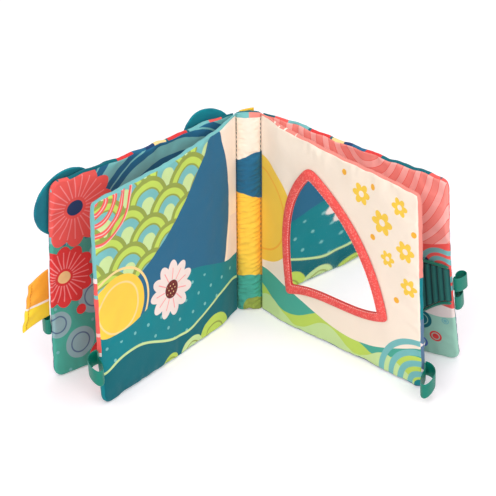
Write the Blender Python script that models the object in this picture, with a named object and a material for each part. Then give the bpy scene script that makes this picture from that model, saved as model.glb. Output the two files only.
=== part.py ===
"""Crinkle cloth book, standing open on its edges.

Two padded cloth sheets, a cover sheet outside and a page sheet inside, are sewn together along two
upright seams. Between the seams lies a padded spine, and on each side of it a page and a cover leaf
swing about their seam. Metres, +Z up. The origin is under the middle of the spine, +X runs to the
right leaves, and the reader looks along +Y.
"""
import math

import bmesh
import bpy
from mathutils import Vector

# The whole book
PAGE_WIDTH = 0.171
PAGE_HEIGHT = 0.170
SEAM_SPACING = 0.020
FABRIC = 0.0005
CLEARANCE = 0.0003
TABLE_PRESS = 0.0005

# Padded leaves
ROOT_START = 0.0013
ROOT_HALF = 0.0006
ROOT_TAPER = 0.032
EDGE_HALF = 0.0023
CROWN_HALF = 0.0040
CROWN_REACH = 0.040
CORNER_RADIUS = 0.0085
TOP_DRAW = 0.0010
FREE_DRAW = 0.0015
FILM = 0.0002
FILLING_INSET = 0.0030
FILLING_ROOT = 0.016

# Soft folds in the covers' outer cloth
FOLD_HEIGHT = 0.0022
FOLD_SPACING = 0.0400
FOLD_SWAY = 0.0080
FOLD_REACH = 0.0220
FOLD_CELL = 0.0100
FOLD_SLANT = 35

# Padded spine
SPINE_EDGE_GAP = 0.0024
SPINE_CROWN_EDGE = 0.0031
INNER_SPINE_CROWN = 0.0039
COVER_SPINE_CROWN = 0.0030
SPINE_END_ROUND = 0.0060
SEAM_CORD_RADIUS = 0.0006
SEAM_CORD_TURN_SHARE = 0.75
SEAM_CORD_STEPS = 8
SEAM_WEB = 0.0007
STITCH_PITCH = 0.0070
STITCH_SHARE = 0.6
STITCH_RISE = 0.0002
THREAD_WIDTH = 0.0005
THREAD_THICKNESS = 0.0002

# Ears on the front cover
EAR_FABRIC = 0.0006
EAR_RIM_HALF = 0.0009
EAR_CROWN_HALF = 0.0027
CORNER_EAR_RADIUS = 0.0280
CORNER_EAR_FROM_EDGE = 0.0195
CORNER_EAR_BELOW_TOP = 0.0255
SPINE_EAR_RADIUS = 0.0205
SPINE_EAR_FROM_SEAM = 0.0220
SPINE_EAR_BELOW_TOP = 0.0105
EAR_CROWN_SHARE = 0.8
EAR_FILLING_SHARE = 0.75
EAR_CELLS = 10
EAR_FILLING_CELLS = 6

# Satin ribbon loops and tags
RIBBON_WIDTH = 0.0127
RIBBON = 0.0005
TAG_GAP = 0.0006
LOOP_LENGTH = 0.0250
LOOP_HALF_WIDTH = 0.0048
LOOP_DROOP = 0.0070
LOOP_BEND_SHARE = 0.6
LOOP_START_SHARE = 0.07
LOOP_COLUMNS = 16
SHORT_LOOP_LENGTH = 0.0140
SHORT_LOOP_DROOP = 0.0010
LEFT_PAGE_LOOP_Z = 0.0410
RIGHT_PAGE_LOOP_Z = 0.0190
FRONT_COVER_LOOP_Z = 0.0440
BACK_COVER_UPPER_LOOP_Z = 0.0760
BACK_COVER_LOWER_LOOP_Z = 0.0575
SIDE_TAG_HEIGHT = 0.0415
SIDE_TAG_Z = 0.0740
SIDE_TAG_TOP_LENGTH = 0.0180
SIDE_TAG_FOOT_LENGTH = 0.0255
SIDE_TAG_DROOP = 0.0090
SIDE_TAG_HALF = 0.0006
SIDE_TAG_HEM_HALF = 0.0012
SIDE_TAG_BELLY = 0.0018
SIDE_TAG_HEM = 0.0030
SIDE_TAG_REACH_SHARES = (0, 0.2, 0.45, 0.7)
SIDE_TAG_FOOT_DROOP_SHARE = 0.7
SIDE_TAG_ROWS = 4
SPINE_RIBBON_WIDTH = 0.0116
SPINE_RIBBON_X = -0.0014
SPINE_RIBBON_RISE = 0.0035
SPINE_RIBBON_DROP = 0.0180
SPINE_RIBBON_FOLD = 0.0007
SPINE_RIBBON_COLUMNS = 4
SPINE_RIBBON_ROWS = 6

# Mirror on the right page
MIRROR_BACKING = 0.0008
MIRROR_SHEET = 0.0004
MIRROR_FOOT_NEAR = (0.0338, 0.0298)
MIRROR_FOOT_FAR = (0.1385, 0.0481)
MIRROR_APEX = (0.0578, 0.1508)
MIRROR_NEAR_BULGE = 0.0157
MIRROR_NEAR_LEAN = 0.0054
MIRROR_FAR_BULGE = 0.0164
MIRROR_FOOT_LEAN = -0.0083
MIRROR_APEX_ROUND = 0.0090
MIRROR_FOOT_ROUND = 0.0050
MIRROR_INNER_ROUND_SHARE = 0.25
MIRROR_CORNER_STEPS = 3
TRIM_WIDTH = 0.0085
TRIM_THICKNESS = 0.0008
TRIM_SEAM_INSET = 0.0065
NEAR_SIDE_STEPS = 8
FAR_SIDE_STEPS = 9
FOOT_STEPS = 7
SHEET_RING_SHARES = (1.0, 0.66, 0.33)
SHARPEST_CORNER_SHARE = 0.45

# Ribbed panel on the back cover
PANEL_WIDTH = 0.0405
PANEL_EDGE_GAP = 0.0025
PANEL_TOP = 0.0905
PANEL_LOW = 0.0380
PANEL_HIGH = 0.0600
PANEL_BASE = 0.0008
RIB_HEIGHT = 0.0009
RIB_COUNT = 8
BINDING_WIDTH = 0.0030
BINDING_THICKNESS = 0.0022
BINDING_COLUMNS = 8
SWOOP_GAP = 0.0004

# Colours
CREAM = (0.98, 0.84, 0.72)
CORAL = (0.85, 0.12, 0.11)
PALE_CORAL = (0.85, 0.20, 0.20)
PINK = (0.95, 0.45, 0.42)
PETROL_BLUE = (0.02, 0.15, 0.27)
NAVY = (0.02, 0.06, 0.15)
AQUA = (0.18, 0.50, 0.50)
TEAL = (0.02, 0.22, 0.24)
DEEP_TEAL = (0.03, 0.09, 0.09)
EMERALD = (0.0, 0.27, 0.20)
DARK_EMERALD = (0.0, 0.17, 0.13)
DARK_THREAD = (0.05, 0.16, 0.14)
ORANGE = (0.98, 0.50, 0.06)
UNDYED = (0.75, 0.70, 0.62)
WADDING_WHITE = (0.86, 0.85, 0.82)
FILM_GREY = (0.80, 0.82, 0.84)
BACKING_GREY = (0.75, 0.75, 0.75)
MIRROR_SILVER = (0.85, 0.88, 0.90)

HINGE_X = SEAM_SPACING / 2
HALF_GAP = CLEARANCE / 2
FULL_HALF = CROWN_HALF + HALF_GAP
PANEL_END = PAGE_WIDTH - PANEL_EDGE_GAP
PANEL_START = PANEL_END - PANEL_WIDTH


def clear_scene():
    for item in list(bpy.data.objects):
        bpy.data.objects.remove(item, do_unlink=True)


def ease(value):
    value = min(max(value, 0.0), 1.0)
    return value * value * (3 - 2 * value)


def arc_factor(angle):
    return math.sin(angle) / angle if angle else 1.0


def quarter_round(share):
    share = min(max(share, 0.0), 1.0)
    return math.sqrt(1 - (1 - share) ** 2)


class Leaf:
    """One padded leaf. s runs from its seam to its free edge, z upwards and n towards its front face."""

    def __init__(self, side, layer, foot_yaw, middle_yaw, top_yaw, foot_bow, top_bow):
        self.side = side
        self.layer = layer
        self.foot_yaw = math.radians(foot_yaw)
        self.middle_yaw = math.radians(middle_yaw)
        self.top_yaw = math.radians(top_yaw)
        self.bows = (math.radians(foot_bow), math.radians(top_bow))

    def place(self, s, z, n):
        height_share = z / PAGE_HEIGHT
        yaw = self.foot_yaw * (1 - height_share) * (1 - 2 * height_share)
        yaw += self.middle_yaw * 4 * height_share * (1 - height_share)
        yaw += self.top_yaw * height_share * (2 * height_share - 1)
        bow = self.bows[0] + (self.bows[1] - self.bows[0]) * height_share
        turned = bow * s / PAGE_WIDTH
        chord = s * arc_factor(turned / 2)
        along = yaw + bow / 2 - turned / 2
        across = yaw + bow / 2 - turned
        x = HINGE_X + chord * math.cos(along) - n * math.sin(across)
        y = -chord * math.sin(along) - n * math.cos(across)
        return Vector((self.side * x, y, z))

    def middle(self, s):
        half = ROOT_HALF + HALF_GAP + (FULL_HALF - ROOT_HALF - HALF_GAP) * ease(s / ROOT_TAPER)
        return self.layer * (HALF_GAP + half)

    def half_thickness(self, s, edge, depth):
        taper = ease(s / ROOT_TAPER)
        rim = ROOT_HALF + (EDGE_HALF - ROOT_HALF) * taper - depth
        crown = (CROWN_HALF - EDGE_HALF) * ease(edge / CROWN_REACH) * taper
        return rim * quarter_round((edge - depth) / rim) + crown

    def face(self, s, edge, depth, towards):
        return self.middle(s) + towards * (HALF_GAP + self.half_thickness(s, edge, depth))

    def front(self, s, z):
        edge = min(z, PAGE_HEIGHT - z, PAGE_WIDTH - s)
        return self.face(s, edge, 0.0, 1)


LEAVES = {
    "left_page": Leaf(-1, 1, 53, 51.5, 52, 3, 5),
    "left_cover": Leaf(-1, -1, 37.5, 37, 40.5, -1, -4),
    "right_page": Leaf(1, 1, 43.5, 45, 47.5, -3, -7),
    "right_cover": Leaf(1, -1, 29, 35.5, 40, 6, -7),
}


def make_collection(name):
    collection = bpy.data.collections.new(name)
    bpy.context.scene.collection.children.link(collection)
    return collection


def make_material(name, colour, roughness, metallic=0.0):
    material = bpy.data.materials.new(name)
    material.use_nodes = True
    shader = material.node_tree.nodes["Principled BSDF"]
    shader.inputs["Base Color"].default_value = (*colour, 1.0)
    shader.inputs["Roughness"].default_value = roughness
    shader.inputs["Metallic"].default_value = metallic
    return material


def make_body(name, place, parent=None):
    """An empty on a joint's axis that carries the pieces which turn about it."""
    empty = bpy.data.objects.new(name, None)
    BOOK.objects.link(empty)
    empty.parent = parent
    empty.location = place - (Vector(parent["place"]) if parent else Vector())
    empty["place"] = place
    return empty


def add_object(name, bm, body, colour, roughness=0.8, metallic=0.0):
    place = Vector(body["place"]) if body else Vector()
    for vert in bm.verts:
        vert.co -= place
    bmesh.ops.recalc_face_normals(bm, faces=bm.faces)
    if bm.calc_volume(signed=True) < 0:
        bmesh.ops.reverse_faces(bm, faces=bm.faces)
    mesh = bpy.data.meshes.new(name)
    bm.to_mesh(mesh)
    bm.free()
    mesh.shade_smooth()
    mesh.set_sharp_from_angle(angle=math.radians(45))
    piece = bpy.data.objects.new(name, mesh)
    piece.parent = body
    piece.data.materials.append(make_material(name, colour, roughness, metallic))
    BOOK.objects.link(piece)


def add_layer(bm, columns, rows, outer, inner, ring=False):
    """A grid laid on one surface and extruded onto a second one, which makes a closed layer of cloth.

    In a ring the last column lies on the first one, and the two are welded.
    """
    bmesh.ops.create_grid(bm, x_segments=columns, y_segments=rows, size=1.0)
    extruded = bmesh.ops.extrude_face_region(bm, geom=bm.faces[:], use_keep_orig=True)
    copies = {item for item in extruded["geom"] if isinstance(item, bmesh.types.BMVert)}
    cells = {vert: (round((vert.co.x + 1) / 2 * columns), round((vert.co.y + 1) / 2 * rows))
             for vert in bm.verts}
    if ring:
        ends = [face for face in bm.faces
                if {cells[vert][0] for vert in face.verts} in ({0}, {columns})]
        bmesh.ops.delete(bm, geom=ends, context="FACES_ONLY")
    for vert, (column, row) in cells.items():
        vert.co = inner(column, row) if vert in copies else outer(column, row)
    if ring:
        bmesh.ops.remove_doubles(bm, verts=bm.verts, dist=CLEARANCE / 100)


def cells_added(lines):
    """Adds grid lines between the given ones, so that no cell is too wide for a fold."""
    finer = [lines[0]]
    for start, end in zip(lines, lines[1:]):
        cells = math.ceil(abs(end - start) / FOLD_CELL)
        finer += [start + (end - start) * cell / cells for cell in range(1, cells + 1)]
    return finer


TAPER_LINE = PAGE_WIDTH - ROOT_TAPER
MIDDLE_LINE = PAGE_WIDTH / 2
INNER_LINES = [TAPER_LINE, (TAPER_LINE + MIDDLE_LINE) / 2, MIDDLE_LINE,
               (MIDDLE_LINE + CROWN_REACH) / 2, CROWN_REACH]
LEAF_LINES = [PAGE_WIDTH - ROOT_START, PAGE_WIDTH - ROOT_TAPER / 4, PAGE_WIDTH - ROOT_TAPER / 2,
              *INNER_LINES, CORNER_RADIUS, EDGE_HALF, TABLE_PRESS, 0.0]
HALF_HEIGHT = (PAGE_HEIGHT + TABLE_PRESS) / 2
UPRIGHT_LINES = [0.0, TABLE_PRESS, EDGE_HALF, CORNER_RADIUS, CROWN_REACH, HALF_HEIGHT]
FILLING_LINES = [PAGE_WIDTH - FILLING_ROOT, *INNER_LINES, CORNER_RADIUS, 0.0]
FILLING_UPRIGHT_LINES = [0.0, CORNER_RADIUS, CROWN_REACH, HALF_HEIGHT]
FOLDED_LINES = cells_added(LEAF_LINES)
FOLDED_UPRIGHT_LINES = cells_added(UPRIGHT_LINES)


def leaf_spot(free_lines, upright_lines, column, row, inset):
    """s, z and the distance to the outline, for one crossing of a leaf's grid lines."""
    last_row = 2 * (len(upright_lines) - 1)
    at_top = row > last_row / 2
    line = upright_lines[last_row - row if at_top else row]
    from_free = inset + free_lines[column] * (1 - inset / PAGE_WIDTH)
    from_end = inset + line * (1 - inset / HALF_HEIGHT)
    edge = min(from_free, from_end)
    radius = CORNER_RADIUS - inset
    if from_free < CORNER_RADIUS and from_end < CORNER_RADIUS:
        across = 1 - (from_free - inset) / radius
        upward = 1 - (from_end - inset) / radius
        across, upward = (across * math.sqrt(1 - upward ** 2 / 2),
                          upward * math.sqrt(1 - across ** 2 / 2))
        from_free = inset + radius * (1 - across)
        from_end = inset + radius * (1 - upward)
        edge = inset + radius * (1 - math.hypot(across, upward))
    s = PAGE_WIDTH - from_free
    z = PAGE_HEIGHT - from_end if at_top else from_end - TABLE_PRESS
    return s, z, edge


def drawn_in(s, z):
    width_share = s / PAGE_WIDTH
    height_share = min(max(z / PAGE_HEIGHT, 0.0), 1.0)
    free_draw = FREE_DRAW * 4 * height_share * (1 - height_share) * width_share ** 2
    top_draw = TOP_DRAW * 4 * width_share * (1 - width_share) * height_share ** 2
    return s - free_draw, z - top_draw


def fold_rise(s, z, edge, patches):
    """Slanting soft folds that die out at the seams and round the patches sewn on the cloth."""
    slant = math.radians(FOLD_SLANT)
    along = s * math.cos(slant) - z * math.sin(slant)
    across = s * math.sin(slant) + z * math.cos(slant)
    swayed = across + FOLD_SWAY * math.sin(math.pi * along / FOLD_SPACING)
    calm = ease(edge / FOLD_REACH) * ease(s / ROOT_TAPER)
    for centre_s, centre_z, radius in patches:
        calm *= ease((math.hypot(s - centre_s, z - centre_z) - radius) / FOLD_REACH)
    return FOLD_HEIGHT / 2 * math.sin(2 * math.pi * swayed / FOLD_SPACING) * calm


def leaf_surface(leaf, free_lines, upright_lines, inset, depth, towards, folded=False, patches=()):
    def spot(column, row):
        s, z, edge = leaf_spot(free_lines, upright_lines, column, row, inset)
        n = leaf.face(s, edge, depth, towards)
        if folded:
            n += towards * fold_rise(s, z, edge, patches)
        s, z = drawn_in(s, z)
        return leaf.place(s, max(z, inset), n)
    return spot


def add_fabric(name, leaf, towards, body, colour):
    bm = bmesh.new()
    add_layer(bm, len(LEAF_LINES) - 1, 2 * (len(UPRIGHT_LINES) - 1),
              leaf_surface(leaf, LEAF_LINES, UPRIGHT_LINES, 0.0, 0.0, towards),
              leaf_surface(leaf, LEAF_LINES, UPRIGHT_LINES, FABRIC, FABRIC, towards))
    add_object(name, bm, body, colour)


def add_folded_fabric(name, leaf, patches, body, colour):
    bm = bmesh.new()
    add_layer(bm, len(FOLDED_LINES) - 1, 2 * (len(FOLDED_UPRIGHT_LINES) - 1),
              leaf_surface(leaf, FOLDED_LINES, FOLDED_UPRIGHT_LINES, 0.0, 0.0, -1, True, patches),
              leaf_surface(leaf, FOLDED_LINES, FOLDED_UPRIGHT_LINES, FABRIC, FABRIC, -1, True, patches))
    add_object(name, bm, body, colour)


def add_filling(name, leaf, front_depth, back_depth, back_towards, body, colour, roughness):
    bm = bmesh.new()
    add_layer(bm, len(FILLING_LINES) - 1, 2 * (len(FILLING_UPRIGHT_LINES) - 1),
              leaf_surface(leaf, FILLING_LINES, FILLING_UPRIGHT_LINES, FILLING_INSET, front_depth, 1),
              leaf_surface(leaf, FILLING_LINES, FILLING_UPRIGHT_LINES, FILLING_INSET, back_depth,
                           back_towards))
    add_object(name, bm, body, colour, roughness)


def build_leaf(name, leaf, body, front_colour, back_colour, patches=()):
    film_depth = FABRIC + CLEARANCE
    wadding_depth = film_depth + FILM + CLEARANCE
    is_cover = leaf.layer < 0
    back_depth = film_depth + (FOLD_HEIGHT / 2 if is_cover else 0.0)
    add_fabric(name + "_front_fabric", leaf, 1, body, front_colour)
    add_filling(name + "_crinkle_film", leaf, film_depth, film_depth + FILM, 1, body, FILM_GREY, 0.25)
    add_filling(name + "_wadding", leaf, wadding_depth, back_depth, -1, body, WADDING_WHITE, 0.95)
    if is_cover:
        add_folded_fabric(name + "_back_fabric", leaf, patches, body, back_colour)
    else:
        add_fabric(name + "_back_fabric", leaf, -1, body, back_colour)


SPINE_HALF = HINGE_X - SPINE_EDGE_GAP
SPINE_CROWN_HALF = HINGE_X - SPINE_CROWN_EDGE
SPINE_ACROSS_SHARES = (-1, -0.9, -0.7, -0.38, 0, 0.38, 0.7, 0.9, 1)
SPINE_UPRIGHT_SHARES = (0, 0.15, 0.5, 1, 1, 0.5, 0.15, 0)
INNER_SPINE_BASE = FABRIC / 2 + CLEARANCE + FABRIC
COVER_SPINE_BASE = INNER_SPINE_BASE + CLEARANCE + FABRIC


def spine_surface(layer, base, crown, wall):
    """A pad between the two seams: flat sewn margins, a round crown and closed rounded ends."""
    rows = len(SPINE_UPRIGHT_SHARES) - 1
    half = SPINE_CROWN_HALF - wall
    widest_share = SPINE_ACROSS_SHARES[-2]

    def spot(column, row):
        across_share = SPINE_ACROSS_SHARES[column]
        outermost = abs(across_share) == 1
        x = across_share * SPINE_HALF if outermost else across_share / widest_share * half
        from_end = SPINE_UPRIGHT_SHARES[row] * SPINE_END_ROUND
        z = from_end if row < rows / 2 else PAGE_HEIGHT - from_end
        rise = 0.0 if outermost else math.sqrt(max(0.0, 1 - (across_share / widest_share) ** 2))
        y = base - wall + crown * rise * quarter_round(from_end / SPINE_END_ROUND)
        return Vector((x, -layer * y, z))
    return spot


def build_spine_strip(name, layer, flat_y, base, crown, flat_name, flat_colour, puffed_name,
                      puffed_colour):
    rows = len(SPINE_UPRIGHT_SHARES) - 1
    columns = len(SPINE_ACROSS_SHARES) - 1

    bm = bmesh.new()
    bmesh.ops.create_cube(bm, size=1.0)
    for vert in bm.verts:
        vert.co = Vector((vert.co.x * 2 * SPINE_HALF, flat_y + vert.co.y * FABRIC,
                          (vert.co.z + 0.5) * PAGE_HEIGHT))
    add_object(name + flat_name, bm, None, flat_colour)

    bm = bmesh.new()
    add_layer(bm, columns, rows, spine_surface(layer, base, crown, 0.0),
              spine_surface(layer, base, crown, FABRIC))
    add_object(name + puffed_name, bm, None, puffed_colour)

    puffed_face = spine_surface(layer, base, crown, FABRIC + CLEARANCE)

    def flat_face(column, row):
        place = puffed_face(column, row)
        place.y = -layer * (base - FABRIC)
        return place

    bm = bmesh.new()
    add_layer(bm, columns - 4, rows - 4, lambda column, row: puffed_face(column + 2, row + 2),
              lambda column, row: flat_face(column + 2, row + 2))
    add_object(name + "_wadding", bm, None, WADDING_WHITE, 0.95)


def build_seam(name, side):
    """The sewn-through layers beside the spine, with a round fold on the line about which leaves turn."""
    bm = bmesh.new()
    outline = []
    for step in range(SEAM_CORD_STEPS + 1):
        angle = math.pi * SEAM_CORD_TURN_SHARE * (1 - 2 * step / SEAM_CORD_STEPS)
        outline.append((HINGE_X + SEAM_CORD_RADIUS * math.cos(angle),
                        SEAM_CORD_RADIUS * math.sin(angle)))
    web_start = SPINE_HALF + CLEARANCE
    outline.append((web_start, -SEAM_WEB / 2))
    outline.append((web_start, SEAM_WEB / 2))
    verts = [bm.verts.new((side * x, y, 0.0)) for x, y in outline]
    face = bm.faces.new(verts)
    extruded = bmesh.ops.extrude_face_region(bm, geom=[face], use_keep_orig=True)
    copies = [item for item in extruded["geom"] if isinstance(item, bmesh.types.BMVert)]
    bmesh.ops.translate(bm, verts=copies, vec=Vector((0, 0, PAGE_HEIGHT)))
    add_object(name + "_spine_seam", bm, None, UNDYED)

    stitch_x = side * (SPINE_HALF + SPINE_CROWN_HALF) / 2
    count = int((PAGE_HEIGHT - 2 * SPINE_END_ROUND) / STITCH_PITCH)
    start = (PAGE_HEIGHT - count * STITCH_PITCH) / 2
    shares = (0.0, (1 - STITCH_SHARE) / 2, (1 - STITCH_SHARE) / 2, (1 + STITCH_SHARE) / 2)

    def thread_surface(top):
        def spot(column, row):
            stitch, corner = divmod(column, len(shares))
            z = start + (stitch + shares[corner]) * STITCH_PITCH
            z += THREAD_THICKNESS if corner == 2 else 0.0
            raised = STITCH_RISE if corner in (2, 3) else 0.0
            y = INNER_SPINE_BASE + CLEARANCE + (THREAD_THICKNESS + raised if top else 0.0)
            return Vector((stitch_x + (row - 0.5) * THREAD_WIDTH, -y, z))
        return spot

    bm = bmesh.new()
    add_layer(bm, len(shares) * count, 1, thread_surface(True), thread_surface(False))
    add_object(name + "_seam_thread", bm, None, DARK_THREAD, 0.6)


def disc_share(column, row, size):
    """Maps a square grid onto a round one."""
    across = 2 * column / size - 1
    upward = 2 * row / size - 1
    return (across * math.sqrt(1 - upward ** 2 / 2), upward * math.sqrt(1 - across ** 2 / 2))


def build_ear(name, centre_s, centre_z, radius):
    """A round padded ear, sewn flat on the outer face of the front cover."""
    leaf = LEAVES["left_cover"]
    body = BODIES["left_cover"]
    crown = EAR_CROWN_HALF - EAR_RIM_HALF

    def cover_face(s):
        """How deep the cover's own outer face lies behind the leaves' meeting plane."""
        return 2 * abs(leaf.middle(s)) + CLEARANCE

    def surface(depth, towards):
        def spot(column, row):
            across, upward = disc_share(column, row, EAR_CELLS)
            from_rim = 1 - math.hypot(across, upward)
            s = centre_s + across * (radius - depth)
            z = centre_z + upward * (radius - depth)
            rim = EAR_RIM_HALF - depth
            if towards < 0:
                puff = rim * quarter_round(from_rim * radius / EAR_RIM_HALF)
                puff += crown * ease(from_rim / EAR_CROWN_SHARE)
            else:
                puff = rim * quarter_round(from_rim * radius / rim)
            middle = cover_face(s) + EAR_RIM_HALF + HALF_GAP
            return leaf.place(s, z, towards * (HALF_GAP + puff) - middle)
        return spot

    for face, towards in (("_front_fabric", 1), ("_back_fabric", -1)):
        bm = bmesh.new()
        add_layer(bm, EAR_CELLS, EAR_CELLS, surface(0.0, towards), surface(EAR_FABRIC, towards))
        add_object(name + face, bm, body, TEAL)

    filling_depth = EAR_FABRIC + CLEARANCE

    def filling(is_back):
        def spot(column, row):
            across, upward = disc_share(column, row, EAR_FILLING_CELLS)
            from_rim = 1 - EAR_FILLING_SHARE * math.hypot(across, upward)
            s = centre_s + across * EAR_FILLING_SHARE * radius
            z = centre_z + upward * EAR_FILLING_SHARE * radius
            depth = cover_face(s)
            if is_back:
                depth += 2 * (EAR_RIM_HALF + HALF_GAP) + crown * ease(from_rim / EAR_CROWN_SHARE)
                depth -= filling_depth
            else:
                depth += filling_depth
            return leaf.place(s, z, -depth)
        return spot

    bm = bmesh.new()
    add_layer(bm, EAR_FILLING_CELLS, EAR_FILLING_CELLS, filling(False), filling(True))
    add_object(name + "_wadding", bm, body, WADDING_WHITE, 0.95)


def edge_frame(leaf, z):
    """Where a tag leaves a free edge at a height: the place, and the ways outward, across and upward."""
    s = drawn_in(PAGE_WIDTH, z)[0] + TAG_GAP
    n = leaf.middle(PAGE_WIDTH)
    place = leaf.place(s, z, n)
    upward = (leaf.place(s, z + RIBBON_WIDTH, n) - leaf.place(s, z - RIBBON_WIDTH, n)).normalized()
    outward = leaf.place(s + RIBBON_WIDTH, z, n) - place
    outward = (outward - upward * outward.dot(upward)).normalized()
    across = leaf.place(s, z, n + RIBBON_WIDTH) - place
    across -= upward * across.dot(upward)
    across = (across - outward * across.dot(outward)).normalized()
    return place, outward, across, upward


def build_loop(name, leaf, centre_z, length, droop, turn, body):
    """A satin ribbon folded into a loop, with both ends caught in the seam of a free edge."""
    place, outward, across, upward = edge_frame(leaf, centre_z)
    bend = length * LOOP_BEND_SHARE
    start = math.pi * LOOP_START_SHARE
    widest = 4 / 27 ** 0.5

    def bent(reach, spread):
        """Follows the loop's middle line, which bends to one side just outside the seam."""
        turned = math.radians(turn) * min(reach / bend, 1.0)
        chord = min(reach, bend) * arc_factor(turned / 2)
        along = outward * math.cos(turned) + across * math.sin(turned)
        half_way = outward * math.cos(turned / 2) + across * math.sin(turned / 2)
        sideways = across * math.cos(turned) - outward * math.sin(turned)
        return place + half_way * chord + along * max(reach - bend, 0.0) + sideways * spread

    def path(share):
        phase = start + (math.pi - 2 * start) * share
        reach = length * (math.sin(phase) ** 2 - math.sin(start) ** 2)
        spread = LOOP_HALF_WIDTH / widest * math.sin(2 * phase) * math.sin(phase)
        return reach, spread

    def surface(depth):
        def spot(column, row):
            reach, spread = path(column / LOOP_COLUMNS)
            before = path(max(column - 0.1, 0.0) / LOOP_COLUMNS)
            after = path(min(column + 0.1, LOOP_COLUMNS) / LOOP_COLUMNS)
            step = (after[0] - before[0], after[1] - before[1])
            size = math.hypot(*step)
            reach += depth * step[1] / size
            spread -= depth * step[0] / size
            if column in (0, LOOP_COLUMNS):
                reach = max(reach, 0.0)
            sink = droop * (reach / length) ** 2
            return bent(reach, spread) + upward * ((row - 0.5) * RIBBON_WIDTH) - Vector((0, 0, sink))
        return spot

    bm = bmesh.new()
    add_layer(bm, LOOP_COLUMNS, 1, surface(0.0), surface(RIBBON))
    add_object(name, bm, body, EMERALD, 0.35)


def build_side_tag(body):
    """A drooping satin tag, hemmed at its outer end, sewn into the front cover's free edge."""
    leaf = LEAVES["left_cover"]
    place, outward, across, upward = edge_frame(leaf, SIDE_TAG_Z)
    hem_share = 1 - SIDE_TAG_HEM / SIDE_TAG_FOOT_LENGTH
    hem_start_share = hem_share - SIDE_TAG_HALF / SIDE_TAG_FOOT_LENGTH
    reach_shares = (*SIDE_TAG_REACH_SHARES, hem_start_share, hem_share, 1)

    def surface(towards):
        def spot(column, row):
            height_share = row / SIDE_TAG_ROWS
            reach_share = reach_shares[column]
            length = SIDE_TAG_FOOT_LENGTH + (SIDE_TAG_TOP_LENGTH - SIDE_TAG_FOOT_LENGTH) * height_share
            reach = length * reach_share
            half = SIDE_TAG_HEM_HALF if reach_share >= hem_share else SIDE_TAG_HALF
            sink_share = SIDE_TAG_FOOT_DROOP_SHARE + (1 - SIDE_TAG_FOOT_DROOP_SHARE) * height_share
            sink = SIDE_TAG_DROOP * sink_share * reach_share ** 1.5
            rise = (height_share - 0.5) * SIDE_TAG_HEIGHT
            belly = SIDE_TAG_BELLY * math.sin(math.pi * reach_share) * math.sin(math.pi * height_share)
            spot_place = place + outward * reach + across * (belly + towards * half) + upward * rise
            return spot_place - Vector((0, 0, sink))
        return spot

    bm = bmesh.new()
    add_layer(bm, len(reach_shares) - 1, SIDE_TAG_ROWS, surface(1), surface(-1))
    add_object("front_cover_side_tag", bm, body, ORANGE, 0.35)


def build_spine_ribbon():
    """A folded ribbon sewn on the back of the spine, whose fold stands over the top edge."""
    foot_z = PAGE_HEIGHT - SPINE_RIBBON_DROP
    fold_z = PAGE_HEIGHT + SPINE_RIBBON_RISE - SPINE_RIBBON_FOLD - RIBBON
    last_third = SPINE_RIBBON_ROWS * 2 / 3

    def path(row):
        """Up the outside, over the fold and down the inside: the height and the turn so far."""
        if row <= SPINE_RIBBON_ROWS / 3:
            climb_share = 3 * row / SPINE_RIBBON_ROWS
            return foot_z + (fold_z - foot_z) * climb_share, math.pi
        if row >= last_third:
            climb_share = 3 - 3 * row / SPINE_RIBBON_ROWS
            return foot_z + (fold_z - foot_z) * climb_share, 0.0
        return fold_z, math.pi * (2 - 3 * row / SPINE_RIBBON_ROWS)

    def surface(radius):
        def spot(column, row):
            across_share = 2 * column / SPINE_RIBBON_COLUMNS - 1
            x = SPINE_RIBBON_X + across_share * SPINE_RIBBON_WIDTH / 2
            rise = math.sqrt(max(0.0, 1 - (x / SPINE_HALF) ** 2))
            back = COVER_SPINE_BASE + COVER_SPINE_CROWN * rise + CLEARANCE + RIBBON + SPINE_RIBBON_FOLD
            z, turn = path(row)
            return Vector((x, back + radius * math.cos(turn), z + radius * math.sin(turn)))
        return spot

    bm = bmesh.new()
    add_layer(bm, SPINE_RIBBON_COLUMNS, SPINE_RIBBON_ROWS, surface(SPINE_RIBBON_FOLD + RIBBON),
              surface(SPINE_RIBBON_FOLD))
    add_object("spine_ribbon", bm, None, ORANGE, 0.35)


def bowed_side(start, end, bulge, lean, steps):
    """Points along a shallow arc from start to end, bulging to the left of the way there.

    The lean shifts the bulge towards the end.
    """
    run = Vector((end[0] - start[0], end[1] - start[1]))
    left = Vector((-run.y, run.x)).normalized()
    points = []
    for step in range(steps):
        share = step / steps
        bowed = 4 * share * (1 - share) * (bulge + lean * (2 * share - 1))
        points.append(Vector(start) + run * share + left * bowed)
    return points


def corner_rounded(before, corner, after, cut_back):
    """Replaces a corner by a curve that starts and ends at a distance from it."""
    start = corner + (before - corner).normalized() * cut_back
    end = corner + (after - corner).normalized() * cut_back
    points = []
    for step in range(MIRROR_CORNER_STEPS + 1):
        share = step / MIRROR_CORNER_STEPS
        points.append(start * (1 - share) ** 2 + corner * 2 * share * (1 - share) + end * share ** 2)
    return points


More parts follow.
